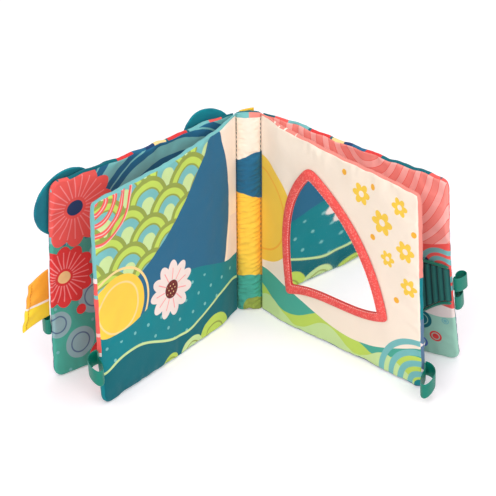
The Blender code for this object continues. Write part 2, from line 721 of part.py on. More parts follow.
def mirror_outline(inset):
    """The pointed arch round the mirror in s and z, moved inwards by an inset."""
    outer = (bowed_side(MIRROR_FOOT_NEAR, MIRROR_APEX, MIRROR_NEAR_BULGE, MIRROR_NEAR_LEAN,
                        NEAR_SIDE_STEPS)
             + bowed_side(MIRROR_APEX, MIRROR_FOOT_FAR, MIRROR_FAR_BULGE, 0.0, FAR_SIDE_STEPS)
             + bowed_side(MIRROR_FOOT_FAR, MIRROR_FOOT_NEAR, 0.0, MIRROR_FOOT_LEAN, FOOT_STEPS))
    count = len(outer)
    moved = []
    for index, point in enumerate(outer):
        before = (point - outer[index - 1]).normalized()
        after = (outer[(index + 1) % count] - point).normalized()
        inward = Vector((before.y + after.y, -before.x - after.x)).normalized()
        facing_share = max(inward.dot(Vector((after.y, -after.x))), SHARPEST_CORNER_SHARE)
        moved.append(point + inward * (inset / facing_share))
    rounds = {0: MIRROR_FOOT_ROUND, NEAR_SIDE_STEPS: MIRROR_APEX_ROUND,
              NEAR_SIDE_STEPS + FAR_SIDE_STEPS: MIRROR_FOOT_ROUND}
    points = []
    for index, point in enumerate(moved):
        if index in rounds:
            cut_back = max(rounds[index] - inset, rounds[index] * MIRROR_INNER_ROUND_SHARE)
            points += corner_rounded(moved[index - 1], point, moved[(index + 1) % count], cut_back)
        else:
            points.append(point)
    return points


def build_mirror():
    leaf = LEAVES["right_page"]
    body = BODIES["right_page"]
    outline_count = len(mirror_outline(0.0))

    def on_page(point, lift):
        return leaf.place(point.x, point.y, leaf.front(point.x, point.y) + lift)

    def add_sheet(name, inset, lift, thickness, colour, roughness, metallic):
        """A thin sheet that fills the arch: rings of points drawn towards its middle."""
        rim = mirror_outline(inset)
        middle = sum(rim, Vector((0, 0))) / outline_count
        bm = bmesh.new()
        for face_lift in (lift, lift + thickness):
            rings = []
            for share in SHEET_RING_SHARES:
                rings.append([bm.verts.new(on_page(middle + (point - middle) * share, face_lift))
                              for point in rim])
            for outer_ring, inner_ring in zip(rings, rings[1:]):
                for index in range(outline_count):
                    following = (index + 1) % outline_count
                    bm.faces.new((outer_ring[index], outer_ring[following],
                                  inner_ring[following], inner_ring[index]))
            bm.faces.new(rings[-1])
        edges = [edge for edge in bm.edges if edge.is_boundary]
        bmesh.ops.bridge_loops(bm, edges=edges)
        bmesh.ops.triangulate(bm, faces=bm.faces)
        add_object(name, bm, body, colour, roughness, metallic)

    covered = TRIM_WIDTH / 2
    backing_lift = CLEARANCE
    sheet_lift = backing_lift + MIRROR_BACKING + CLEARANCE
    add_sheet("mirror_backing", covered, backing_lift, MIRROR_BACKING, BACKING_GREY, 0.8, 0.0)
    add_sheet("mirror_sheet", covered, sheet_lift, MIRROR_SHEET, MIRROR_SILVER, 0.05, 1.0)

    trim_lift = sheet_lift + MIRROR_SHEET + CLEARANCE
    outlines = [mirror_outline(0.0), mirror_outline(covered - CLEARANCE), mirror_outline(TRIM_WIDTH)]
    under_lifts = (CLEARANCE, trim_lift, trim_lift)

    def trim_surface(thickness):
        def spot(column, row):
            return on_page(outlines[row][column % outline_count], under_lifts[row] + thickness)
        return spot

    bm = bmesh.new()
    add_layer(bm, outline_count, 2, trim_surface(TRIM_THICKNESS), trim_surface(0.0), ring=True)
    add_object("mirror_trim", bm, body, CORAL, 0.7)

    seams = [mirror_outline(TRIM_SEAM_INSET + side * THREAD_WIDTH / 2) for side in (-1, 1)]

    def thread_surface(top):
        def spot(column, row):
            first, half = divmod(column, 2)
            start = seams[row][first % outline_count]
            end = seams[row][(first + half) % outline_count]
            raised = THREAD_THICKNESS + STITCH_RISE * half if top else 0.0
            return on_page((start + end) / 2, trim_lift + TRIM_THICKNESS + CLEARANCE + raised)
        return spot

    bm = bmesh.new()
    add_layer(bm, 2 * outline_count, 1, thread_surface(True), thread_surface(False), ring=True)
    add_object("mirror_trim_thread", bm, body, PINK, 0.6)


def panel_foot(s):
    """The swooping lower edge of the ribbed panel."""
    share = (PANEL_END - s) / (PANEL_END - PANEL_START)
    return PANEL_LOW + (PANEL_HIGH - PANEL_LOW) * (1 + math.cos(math.pi * share)) / 2


def build_ribbed_panel():
    leaf = LEAVES["right_cover"]
    body = BODIES["right_cover"]
    columns = 2 * RIB_COUNT
    rows = 2

    def on_cover(s, z, lift):
        drawn_s, drawn_z = drawn_in(s, z)
        return leaf.place(drawn_s, drawn_z, leaf.front(s, z) + lift)

    def panel_surface(raised):
        def spot(column, row):
            s = PANEL_START + (PANEL_END - PANEL_START) * column / columns
            foot = panel_foot(s)
            z = foot + (PANEL_TOP - foot) * row / rows
            rib = RIB_HEIGHT * (column % 2)
            return on_cover(s, z, CLEARANCE + (PANEL_BASE + rib if raised else 0.0))
        return spot

    bm = bmesh.new()
    add_layer(bm, columns, rows, panel_surface(True), panel_surface(False))
    add_object("back_cover_ribbed_panel", bm, body, DEEP_TEAL, 0.85)

    def binding_surface(lower, upper, raised):
        def spot(column, row):
            s = PANEL_START + (PANEL_END - PANEL_START) * column / BINDING_COLUMNS
            z = lower(s) if row == 0 else upper(s)
            return on_cover(s, z, CLEARANCE + (BINDING_THICKNESS if raised else 0.0))
        return spot

    spans = {
        "back_cover_panel_top_binding": (lambda s: PANEL_TOP + CLEARANCE,
                                         lambda s: PANEL_TOP + CLEARANCE + BINDING_WIDTH),
        "back_cover_panel_foot_binding": (lambda s: panel_foot(s) - SWOOP_GAP - BINDING_WIDTH,
                                          lambda s: panel_foot(s) - SWOOP_GAP),
    }
    for name, (lower, upper) in spans.items():
        bm = bmesh.new()
        add_layer(bm, BINDING_COLUMNS, 1, binding_surface(lower, upper, True),
                  binding_surface(lower, upper, False))
        add_object(name, bm, body, DARK_EMERALD, 0.6)


clear_scene()
BOOK = make_collection("crinkle_cloth_book")

BODIES = {}
for side_name, side in (("left", -1), ("right", 1)):
    axis_foot = Vector((side * HINGE_X, 0, 0))
    cover_name = side_name + "_cover"
    page_name = side_name + "_page"
    BODIES[cover_name] = make_body(cover_name + "_body", axis_foot)
    BODIES[page_name] = make_body(page_name + "_body", axis_foot, BODIES[cover_name])

CORNER_EAR = (PAGE_WIDTH - CORNER_EAR_FROM_EDGE, PAGE_HEIGHT - CORNER_EAR_BELOW_TOP, CORNER_EAR_RADIUS)
SPINE_EAR = (SPINE_EAR_FROM_SEAM, PAGE_HEIGHT - SPINE_EAR_BELOW_TOP, SPINE_EAR_RADIUS)

build_leaf("left_page", LEAVES["left_page"], BODIES["left_page"], PETROL_BLUE, AQUA)
build_leaf("right_page", LEAVES["right_page"], BODIES["right_page"], CREAM, CORAL)
build_leaf("front_cover", LEAVES["left_cover"], BODIES["left_cover"], CORAL, TEAL,
           (CORNER_EAR, SPINE_EAR))
build_leaf("back_cover", LEAVES["right_cover"], BODIES["right_cover"], PALE_CORAL, TEAL)

build_spine_strip("inner_spine", 1, 0.0, INNER_SPINE_BASE, INNER_SPINE_CROWN,
                  "_back_fabric", CREAM, "_front_fabric", CREAM)
build_spine_strip("cover_spine", -1, FABRIC + CLEARANCE, COVER_SPINE_BASE, COVER_SPINE_CROWN,
                  "_inner_fabric", CORAL, "_outer_fabric", NAVY)
build_seam("left", -1)
build_seam("right", 1)
build_spine_ribbon()

build_ear("corner_ear", *CORNER_EAR)
build_ear("spine_ear", *SPINE_EAR)

LOOPS = {
    "left_page_loop": ("left_page", LEFT_PAGE_LOOP_Z, LOOP_LENGTH, LOOP_DROOP, 70),
    "right_page_loop": ("right_page", RIGHT_PAGE_LOOP_Z, LOOP_LENGTH, LOOP_DROOP, 75),
    "front_cover_loop": ("left_cover", FRONT_COVER_LOOP_Z, SHORT_LOOP_LENGTH, SHORT_LOOP_DROOP, -100),
    "back_cover_upper_loop": ("right_cover", BACK_COVER_UPPER_LOOP_Z, SHORT_LOOP_LENGTH,
                              SHORT_LOOP_DROOP, -75),
    "back_cover_lower_loop": ("right_cover", BACK_COVER_LOWER_LOOP_Z, SHORT_LOOP_LENGTH,
                              SHORT_LOOP_DROOP, -100),
}
for loop_name, (leaf_name, loop_z, loop_length, loop_droop, loop_turn) in LOOPS.items():
    loop_root = edge_frame(LEAVES[leaf_name], loop_z)[0]
    BODIES[loop_name] = make_body(loop_name + "_body", loop_root, BODIES[leaf_name])
    build_loop(loop_name, LEAVES[leaf_name], loop_z, loop_length, loop_droop, loop_turn,
               BODIES[loop_name])

tag_root = edge_frame(LEAVES["left_cover"], SIDE_TAG_Z)[0]
BODIES["side_tag"] = make_body("side_tag_body", tag_root, BODIES["left_cover"])
build_side_tag(BODIES["side_tag"])

build_mirror()
build_ribbed_panel()
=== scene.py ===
import math

import bmesh
import bpy
import numpy as np
from mathutils import Matrix, Vector


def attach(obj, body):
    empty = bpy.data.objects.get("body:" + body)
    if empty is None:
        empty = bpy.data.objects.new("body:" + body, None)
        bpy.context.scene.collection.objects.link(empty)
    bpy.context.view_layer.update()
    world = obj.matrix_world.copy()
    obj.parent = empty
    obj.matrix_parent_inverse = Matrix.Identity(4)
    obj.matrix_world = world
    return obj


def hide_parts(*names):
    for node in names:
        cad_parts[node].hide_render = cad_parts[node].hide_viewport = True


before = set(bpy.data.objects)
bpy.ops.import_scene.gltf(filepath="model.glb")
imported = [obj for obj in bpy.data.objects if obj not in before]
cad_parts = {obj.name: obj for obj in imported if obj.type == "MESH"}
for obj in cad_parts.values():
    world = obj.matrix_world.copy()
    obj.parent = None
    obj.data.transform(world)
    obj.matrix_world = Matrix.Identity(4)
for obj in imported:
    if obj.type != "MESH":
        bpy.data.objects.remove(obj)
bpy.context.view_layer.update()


# Viewpoint.
# The book is seen from the front and well above it, from far away through a long lens, so that its
# upright edges stay almost parallel.
VIEW_TARGET = Vector((-0.0009, -0.0500, 0.0830))
VIEW_DISTANCE = 1.70
VIEW_ELEVATION = math.radians(29.3)
VIEW_ROLL = math.radians(0.4)
SENSOR_WIDTH = 36.0
PICTURE_PIXELS = 496
FOCAL_PIXELS = 2236

view_back = Vector((0, -math.cos(VIEW_ELEVATION), math.sin(VIEW_ELEVATION)))
level_right = Vector((1, 0, 0))
level_up = view_back.cross(level_right)
view_right = level_right * math.cos(VIEW_ROLL) - level_up * math.sin(VIEW_ROLL)
view_up = level_right * math.sin(VIEW_ROLL) + level_up * math.cos(VIEW_ROLL)
camera = bpy.data.objects.new("camera", bpy.data.cameras.new("camera"))
bpy.context.scene.collection.objects.link(camera)
camera.matrix_world = Matrix.Translation(VIEW_TARGET + view_back * VIEW_DISTANCE) @ Matrix(
    (view_right, view_up, view_back)).transposed().to_4x4()
camera.data.sensor_width = SENSOR_WIDTH
camera.data.lens = SENSOR_WIDTH * FOCAL_PIXELS / PICTURE_PIXELS
camera.data.clip_start = 0.05
camera.data.clip_end = 20.0
bpy.context.scene.camera = camera
bpy.context.scene.view_settings.view_transform = "Standard"


# Floor and soft light.
# A plain white floor keeps the book's soft shadow and is lifted to white where it is looked at. Three
# wide lamps and an even white sky light the cloth from all round.
FLOOR_SIZE = 12.0
FLOOR_LIFT = 0.19
SKY_STRENGTH = 0.54


class Amount:
    """A number, colour or vector that varies over a surface. Sums on amounts add their Math nodes."""

    def __init__(self, tree, socket):
        self.tree = tree
        self.socket = socket

    def maths(self, operation, *others, clamp=False):
        node = self.tree.nodes.new("ShaderNodeMath")
        node.operation = operation
        node.use_clamp = clamp
        for socket, value in zip(node.inputs, (self, *others)):
            plug(self.tree, socket, value)
        return Amount(self.tree, node.outputs[0])

    def after(self, operation, first):
        node = self.tree.nodes.new("ShaderNodeMath")
        node.operation = operation
        node.inputs[0].default_value = first
        plug(self.tree, node.inputs[1], self)
        return Amount(self.tree, node.outputs[0])

    def __add__(self, other):
        return self.maths("ADD", other)

    def __radd__(self, other):
        return self.after("ADD", other)

    def __sub__(self, other):
        return self.maths("SUBTRACT", other)

    def __rsub__(self, other):
        return self.after("SUBTRACT", other)

    def __mul__(self, other):
        return self.maths("MULTIPLY", other)

    def __rmul__(self, other):
        return self.after("MULTIPLY", other)

    def __truediv__(self, other):
        return self.maths("DIVIDE", other)

    def __rtruediv__(self, other):
        return self.after("DIVIDE", other)

    def __mod__(self, other):
        return self.maths("FLOORED_MODULO", other)

    def __abs__(self):
        return self.maths("ABSOLUTE")


def plug(tree, socket, value):
    if isinstance(value, Amount):
        tree.links.new(value.socket, socket)
    elif hasattr(value, "__len__") and len(value) < len(socket.default_value):
        socket.default_value = (*value, 1.0)
    else:
        socket.default_value = value


class Nodes:
    """The nodes of one material, or of the sky."""

    def __init__(self, owner):
        owner.use_nodes = True
        self.tree = owner.node_tree

    def add(self, kind, settings=None, inputs=None, output=0):
        node = self.tree.nodes.new("ShaderNode" + kind)
        for setting, value in (settings or {}).items():
            setattr(node, setting, value)
        for socket, value in (inputs or {}).items():
            plug(self.tree, node.inputs[socket], value)
        return Amount(self.tree, node.outputs[output])

    def looked_at(self):
        """1 where a surface is seen, straight, mirrored or through glass, and 0 where it gives light."""
        seen = self.add("LightPath", None, None, "Is Camera Ray")
        for ray in ("Is Glossy Ray", "Is Transmission Ray"):
            seen = seen.maths("MAXIMUM", self.add("LightPath", None, None, ray))
        return seen


class Finish(Nodes):
    """One finish of cloth, thread, film or tape."""

    def __init__(self, name, roughness, **constants):
        self.material = bpy.data.materials.new(name)
        super().__init__(self.material)
        self.shader = self.tree.nodes["Principled BSDF"]
        self.wear("Roughness", roughness)
        for socket, value in constants.items():
            self.wear(socket.replace("_", " "), value)

    def wear(self, socket, value):
        plug(self.tree, self.shader.inputs[socket], value)

    def mixed(self, mask, under, over, blend="MIX"):
        return self.add("Mix", {"data_type": "RGBA", "blend_type": blend},
                        {0: mask, 6: under, 7: over}, 2)

    def flat(self):
        """The place on the piece's flat cut."""
        return self.add("UVMap", {"uv_map": "cloth"})

    def axes(self, place):
        return [self.add("SeparateXYZ", None, {0: place}, axis) for axis in (0, 1)]

    def noise(self, place, scale, detail=2.0, distortion=0.0):
        return self.add("TexNoise", None, {"Vector": place, "Scale": scale, "Detail": detail,
                                           "Distortion": distortion})

    def ribs(self, along, pitch):
        """Even ribs or threads, one to each pitch."""
        return (along * (2 * math.pi / pitch)).maths("SINE")

    def dye(self, ink, patch, swing):
        """Colours the piece, a little darker and paler from patch to patch."""
        share = patch.maths("MULTIPLY_ADD", swing, 1 - swing / 2)
        grey = self.add("CombineColor", None, {0: share, 1: share, 2: share})
        self.wear("Base Color", self.mixed(1.0, ink, grey, "MULTIPLY"))

    def emboss(self, height, strength, depth):
        self.wear("Normal", self.add("Bump", None, {"Strength": strength, "Distance": depth,
                                                    "Height": height}))


def shade(red, green, blue):
    """A screen colour, 0 to 255, as the light it stands for."""
    values = (red / 255, green / 255, blue / 255)
    return tuple(v / 12.92 if v <= 0.04045 else ((v + 0.055) / 1.055) ** 2.4 for v in values)


def deselect():
    if bpy.context.object and bpy.context.object.mode != "OBJECT":
        bpy.ops.object.mode_set(mode="OBJECT")
    bpy.ops.object.select_all(action="DESELECT")


deselect()
bpy.ops.mesh.primitive_plane_add(size=FLOOR_SIZE, location=(0, 0, 0))
floor = bpy.context.object
floor.name = "floor"
floor_finish = Finish("white_floor", 0.9, Base_Color=shade(251, 246, 250), Specular_IOR_Level=0.0)
floor_lift = floor_finish.add("Emission", None, {"Color": (1.0, 1.0, 1.0),
                                                 "Strength": floor_finish.looked_at() * FLOOR_LIFT})
floor_whole = floor_finish.add("AddShader", None, {
    0: Amount(floor_finish.tree, floor_finish.shader.outputs[0]), 1: floor_lift})
floor_finish.tree.links.new(floor_whole.socket,
                            floor_finish.tree.nodes["Material Output"].inputs["Surface"])
floor.data.materials.append(floor_finish.material)

world = bpy.data.worlds.new("soft_sky")
bpy.context.scene.world = world
sky = Nodes(world)
background = sky.tree.nodes["Background"]
background.inputs["Color"].default_value = (1.0, 1.0, 1.0, 1.0)
plug(sky.tree, background.inputs["Strength"], sky.looked_at() * (1 - SKY_STRENGTH) + SKY_STRENGTH)

for lamp_name, lamp_place, lamp_size, lamp_power in (
        ("soft_key", (-0.6, -1.6, 1.7), 1.2, 17.5),
        ("soft_fill", (0.9, -1.5, 1.3), 1.4, 12.0),
        ("soft_top", (0.1, 0.5, 1.9), 1.6, 9.0)):
    lamp = bpy.data.objects.new(lamp_name, bpy.data.lights.new(lamp_name, "AREA"))
    bpy.context.scene.collection.objects.link(lamp)
    lamp.data.energy = lamp_power
    lamp.data.size = lamp_size
    lamp.location = lamp_place
    lamp.rotation_euler = (VIEW_TARGET - lamp.location).to_track_quat("-Z", "Y").to_euler()


# Left page.
# A padded leaf: two printed cotton cloths are sewn together round three sides and turned, with wadding
# and a crackling film inside. The back cloth wraps round the edge, and the spine seam closes the fourth
# side. The front print is a dusk scene of fans, hills and a low sun.
PAGE_WIDTH = 0.171
PAGE_HEIGHT = 0.170
HINGE_X = 0.010
HALF_GAP = 0.00015
ROOT_START = 0.0007
ROOT_HALF = 0.0006
ROOT_TAPER = 0.032
EDGE_HALF = 0.0023
CROWN_HALF = 0.0040
CROWN_REACH = 0.040
CORNER_RADIUS = 0.0085
TOP_DRAW = 0.0010
FREE_DRAW = 0.0015
CLOTH_CELL = 0.0026
SEWN_REACH = 0.00001
ROOT_TURN = (0.0, 0.0012, 0.0032)
EDGE_TURN = (0.0, 0.0005, 0.0012, 0.0019, 0.0032)
EDGE_SEAM_LINE = 2
EDGE_SEAM_DEPTH = 0.0003
PUCKER_HEIGHT = 0.0005
PUCKER_SPACING = 0.0105
PUCKER_SWAY = 2.2
PUCKER_SWAY_LENGTH = 0.0078
PUCKER_SWELL = 0.35
PUCKER_SWELL_LENGTH = 0.0062
PUCKER_START = 0.0025
PUCKER_END = 0.016
COVER_TOP_WAVE = 0.0008
PAGE_TOP_WAVE = 0.0004
TOP_WAVE_LENGTH = 0.023
TOP_RIPPLE_LENGTH = 0.0094
TOP_WAVE_REACH = 0.030
TOP_WAVE_ROOT = 0.012
ROOT_LIFT = 0.0030
ROOT_LIFT_SPAN = 0.090
ROOT_LIFT_DEPTH = 0.060
STUFFING_REACH = 0.026
STUFFING_EDGE_SHARE = 0.4
FOLD_HEIGHT = 0.0022
FOLD_SPACING = 0.040
FOLD_SWAY = 0.008
FOLD_REACH = 0.022
FOLD_SLANT = 35
CRUMPLE = 0.00006
CLOTH_SETTINGS = {
    "quality": 6, "mass": 0.15, "tension_stiffness": 20, "compression_stiffness": 20,
    "shear_stiffness": 5, "bending_stiffness": 0.3, "tension_damping": 10, "compression_damping": 10,
    "shear_damping": 10, "air_damping": 2, "use_pressure": True}
CLOTH_STEPS = 20
LEAF_LAYERS = ("front_fabric", "back_fabric", "wadding", "crinkle_film")
RIM_TOP_MM = 163.5
RIM_FREE_MM = 164.5
THREAD_PITCH_MM = 0.45

PETROL = shade(35, 104, 140)
TEAL = shade(0, 130, 140)
DEEP_TEAL = shade(0, 104, 116)
OLIVE = shade(150, 165, 75)
LIME = shade(195, 220, 95)
PALE_LIME = shade(205, 230, 160)
AQUA = shade(120, 190, 190)
YELLOW = shade(255, 210, 75)
APRICOT = shade(255, 220, 150)
CREAM = shade(255, 238, 220)
PINK_CREAM = shade(245, 228, 222)
CORAL = shade(242, 96, 90)
PINK = shade(250, 150, 150)
PALE_PINK = shade(252, 196, 190)
MAROON = shade(110, 35, 35)


def ease(value):
    value = np.clip(value, 0.0, 1.0)
    return value * value * (3 - 2 * value)


def quarter_round(share):
    return np.sqrt(1 - (1 - np.clip(share, 0.0, 1.0)) ** 2)


def on_disc(across, upward):
    """Moves the points of a square, -1 to 1 each way, onto the disc inside it."""
    return (across * np.sqrt(np.clip(1 - upward ** 2 / 2, 0, 1)),
            upward * np.sqrt(np.clip(1 - across ** 2 / 2, 0, 1)))


def round_corner(from_free, from_end):
    """Lays the cells of a leaf's corner round it. Gives how far each is from both edges and the rim."""
    in_corner = (from_free < CORNER_RADIUS) & (from_end < CORNER_RADIUS)
    across, upward = on_disc(1 - from_free / CORNER_RADIUS, 1 - from_end / CORNER_RADIUS)
    from_round = np.maximum(CORNER_RADIUS * (1 - np.hypot(across, upward)), 0.0)
    edge = np.where(in_corner, from_round, np.minimum(from_free, from_end))
    return (np.where(in_corner, CORNER_RADIUS * (1 - across), from_free),
            np.where(in_corner, CORNER_RADIUS * (1 - upward), from_end), edge)


class Leaf:
    """One leaf's bent shape. s runs from its seam to its free edge, z upwards, n towards its front."""

    def __init__(self, side, layer, foot_yaw, middle_yaw, top_yaw, foot_bow, top_bow):
        self.side = side
        self.layer = layer
        self.foot_yaw = math.radians(foot_yaw)
        self.middle_yaw = math.radians(middle_yaw)
        self.top_yaw = math.radians(top_yaw)
        self.bows = (math.radians(foot_bow), math.radians(top_bow))

    def place(self, s, z, n):
        share = z / PAGE_HEIGHT
        yaw = self.foot_yaw * (1 - share) * (1 - 2 * share) + self.middle_yaw * 4 * share * (1 - share)
        yaw = yaw + self.top_yaw * share * (2 * share - 1)
        bow = self.bows[0] + (self.bows[1] - self.bows[0]) * share
        turned = bow * s / PAGE_WIDTH
        chord = s * np.sinc(turned / 2 / math.pi)
        along = yaw + bow / 2 - turned / 2
        across = yaw + bow / 2 - turned
        x = HINGE_X + chord * np.cos(along) - n * np.sin(across)
        y = -chord * np.sin(along) - n * np.cos(across)
        return np.stack(np.broadcast_arrays(self.side * x, y, z), axis=-1)

    def middle(self, s):
        full = CROWN_HALF - ROOT_HALF
        return self.layer * (2 * HALF_GAP + ROOT_HALF + full * ease(s / ROOT_TAPER))

    def half_thickness(self, s, edge):
        taper = ease(s / ROOT_TAPER)
        rim = ROOT_HALF + (EDGE_HALF - ROOT_HALF) * taper
        crown = (CROWN_HALF - EDGE_HALF) * ease(edge / CROWN_REACH) * taper
        return rim * quarter_round(edge / rim) + crown

    def front(self, s, z):
        edge = np.minimum(np.minimum(z, PAGE_HEIGHT - z), PAGE_WIDTH - s)
        return self.middle(s) + HALF_GAP + self.half_thickness(s, edge)


LEAVES = {
    "left_page": Leaf(-1, 1, 53, 51.5, 52, 3, 5),
    "left_cover": Leaf(-1, -1, 37.5, 37, 40.5, -1, -4),
    "right_page": Leaf(1, 1, 43.5, 45, 47.5, -3, -7),
    "right_cover": Leaf(1, -1, 29, 35.5, 40, 6, -7),
}


def drawn_in(s, z):
    """Where a point of the flat cloth goes once the filling has drawn the edges in."""
    width_share = s / PAGE_WIDTH
    height_share = np.clip(z / PAGE_HEIGHT, 0.0, 1.0)
    free_draw = FREE_DRAW * 4 * height_share * (1 - height_share) * width_share ** 2
    top_draw = TOP_DRAW * 4 * width_share * (1 - width_share) * height_share ** 2
    return s - free_draw, z - top_draw


def fold_rise(s, z, edge, patches):
    """Slanting soft folds that die out at the seams and round the patches sewn on the cloth."""
    slant = math.radians(FOLD_SLANT)
    along = s * math.cos(slant) - z * math.sin(slant)
    across = s * math.sin(slant) + z * math.cos(slant)
    swayed = across + FOLD_SWAY * np.sin(math.pi * along / FOLD_SPACING)
    calm = ease(edge / FOLD_REACH) * ease(s / ROOT_TAPER)
    for centre_s, centre_z, radius in patches:
        calm = calm * ease((np.hypot(s - centre_s, z - centre_z) - radius) / FOLD_REACH)
    return FOLD_HEIGHT / 2 * np.sin(2 * math.pi * swayed / FOLD_SPACING) * calm


def edge_puckers(s, from_free, from_end, phase):
    """Short gathers that run inwards from the seam round the edge, no two alike."""
    along = PAGE_WIDTH - np.maximum(from_free, from_end)
    edge = np.minimum(from_free, from_end)
    reach = ease(edge / PUCKER_START) * (1 - ease((edge - PUCKER_START) / PUCKER_END))
    sway = PUCKER_SWAY * np.sin(along / PUCKER_SWAY_LENGTH + phase)
    gathers = np.sin(2 * math.pi * along / PUCKER_SPACING + sway + phase)
    swell = 1 - PUCKER_SWELL + PUCKER_SWELL * np.sin(along / PUCKER_SWELL_LENGTH + 2 * phase)
    return PUCKER_HEIGHT * gathers * swell * reach * ease(s / ROOT_TAPER)


def top_rise(s, z, wave_height, phase):
    """How far the soft top edge stands off its cut: it climbs to the spine, in small waves."""
    below_top = PAGE_HEIGHT - z
    climb = ROOT_LIFT * (1 - ease(s / ROOT_LIFT_SPAN)) * ease(1 - below_top / ROOT_LIFT_DEPTH)
    wave = np.sin(2 * math.pi * s / TOP_WAVE_LENGTH + phase)
    wave = wave + 0.5 * np.sin(s / TOP_RIPPLE_LENGTH + 2.7 * phase)
    at_top = ease(1 - below_top / TOP_WAVE_REACH) * ease(s / TOP_WAVE_ROOT)
    return climb + wave_height / 1.5 * wave * at_top


def cell_lines(start_turn, start, end, cell, end_turn):
    """Cell lines across a cloth, closer together beside an edge where the cloth turns round it."""
    low = start + start_turn[-1]
    high = end - end_turn[-1]
    inner = np.linspace(low, high, round((high - low) / cell) + 1)
    last = end - np.array(end_turn[:-1])
    return np.concatenate([start + np.array(start_turn[:-1]), inner, last[::-1]])


def points_of(piece):
    spots = np.zeros(len(piece.data.vertices) * 3, np.float32)
    piece.data.vertices.foreach_get("co", spots)
    return spots.reshape(-1, 3).astype(float)


def set_points(piece, spots):
    piece.data.vertices.foreach_set("co", np.ascontiguousarray(spots, np.float32).ravel())
    piece.data.update()


def cut_cloth(name, columns, rows, layers=1):
    """A flat grid of cloth, or two layers joined at their rim. Gives each point's cell and its layer."""
    deselect()
    bpy.ops.mesh.primitive_grid_add(x_subdivisions=columns, y_subdivisions=rows, size=2)
    piece = bpy.context.object
    piece.name = name
    if layers == 2:
        bpy.ops.object.mode_set(mode="EDIT")
        bpy.ops.mesh.select_all(action="SELECT")
        bpy.ops.mesh.extrude_region_move(TRANSFORM_OT_translate={"value": (0, 0, 1)})
        bpy.ops.object.mode_set(mode="OBJECT")
    spots = points_of(piece)
    cells = np.rint((spots[:, :2] + 1) / 2 * (columns, rows)).astype(int)
    return piece, cells[:, 0], cells[:, 1], spots[:, 2] > 0.5


def lay_flat(piece, across, along):
    """Gives each point its place on the flat cut, in metres, for the print or weave to follow."""
    while piece.data.uv_layers:
        piece.data.uv_layers.remove(piece.data.uv_layers[0])
    layer = piece.data.uv_layers.new(name="cloth")
    corners = np.zeros(len(piece.data.loops), np.int32)
    piece.data.loops.foreach_get("vertex_index", corners)
    flat = np.stack(np.broadcast_arrays(across, along), axis=1)
    layer.data.foreach_set("uv", np.ascontiguousarray(flat[corners], np.float32).ravel())


def close_cloth(piece, fill_ends=False):
    """Sews points that meet, closes the ends of a rolled cloth, and turns the faces outwards."""
    deselect()
    bpy.context.view_layer.objects.active = piece
    bpy.ops.object.mode_set(mode="EDIT")
    bpy.ops.mesh.select_all(action="SELECT")
    bpy.ops.mesh.remove_doubles(threshold=SEWN_REACH)
    if fill_ends:
        bpy.ops.mesh.select_all(action="DESELECT")
        bpy.ops.mesh.select_non_manifold()
        bpy.ops.mesh.fill_holes(sides=0)
        bpy.ops.mesh.select_all(action="SELECT")
    bpy.ops.mesh.normals_make_consistent(inside=False)
    bpy.ops.object.mode_set(mode="OBJECT")


def stuff(piece, held, slack, pressure, cap, seed):
    """Lets slack cloth swell over its filling, with its sewn edges held. Gives how each point moves.

    No point moves further than the cap."""
    start = points_of(piece)
    seam = piece.vertex_groups.new(name="seam")
    seam.add([int(point) for point in np.nonzero(held)[0]], 1.0, "REPLACE")
    crumple = np.random.default_rng(seed).normal(0, CRUMPLE, start.shape)
    set_points(piece, start + crumple * ~held[:, None])
    cloth = piece.modifiers.new("Cloth", "CLOTH")
    for setting, value in CLOTH_SETTINGS.items():
        setattr(cloth.settings, setting, value)
    cloth.settings.uniform_pressure_force = pressure
    cloth.settings.vertex_group_mass = "seam"
    cloth.settings.effector_weights.gravity = 0
    cloth.settings.shrink_min = -slack
    cloth.collision_settings.use_collision = False
    for step in range(CLOTH_STEPS):
        bpy.context.scene.frame_set(step + 1)
    deselect()
    bpy.context.view_layer.objects.active = piece
    bpy.ops.object.modifier_apply(modifier="Cloth")
    bpy.context.scene.frame_set(1)
    piece.vertex_groups.clear()
    moved = points_of(piece) - start
    size = np.linalg.norm(moved, axis=1, keepdims=True)
    return moved * (cap * np.tanh(size / cap) / np.maximum(size, 1e-9))


def smooth_off(piece, levels=1):
    """Rounds the cells off and shades the cloth smooth."""
    deselect()
    bpy.context.view_layer.objects.active = piece
    piece.select_set(True)
    if levels:
        smooth = piece.modifiers.new("Smooth", "SUBSURF")
        smooth.levels = levels
        smooth.render_levels = levels
        bpy.ops.object.modifier_apply(modifier="Smooth")
    bpy.ops.object.shade_smooth()


def fit(piece, body, slot, *nodes, fill=0, **sheet):
    """Hides the CAD parts that a finished piece replaces and hangs it on its body. slot, fill and the
    sheet settings are not used.
    """
    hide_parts(*nodes)
    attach(piece, body)


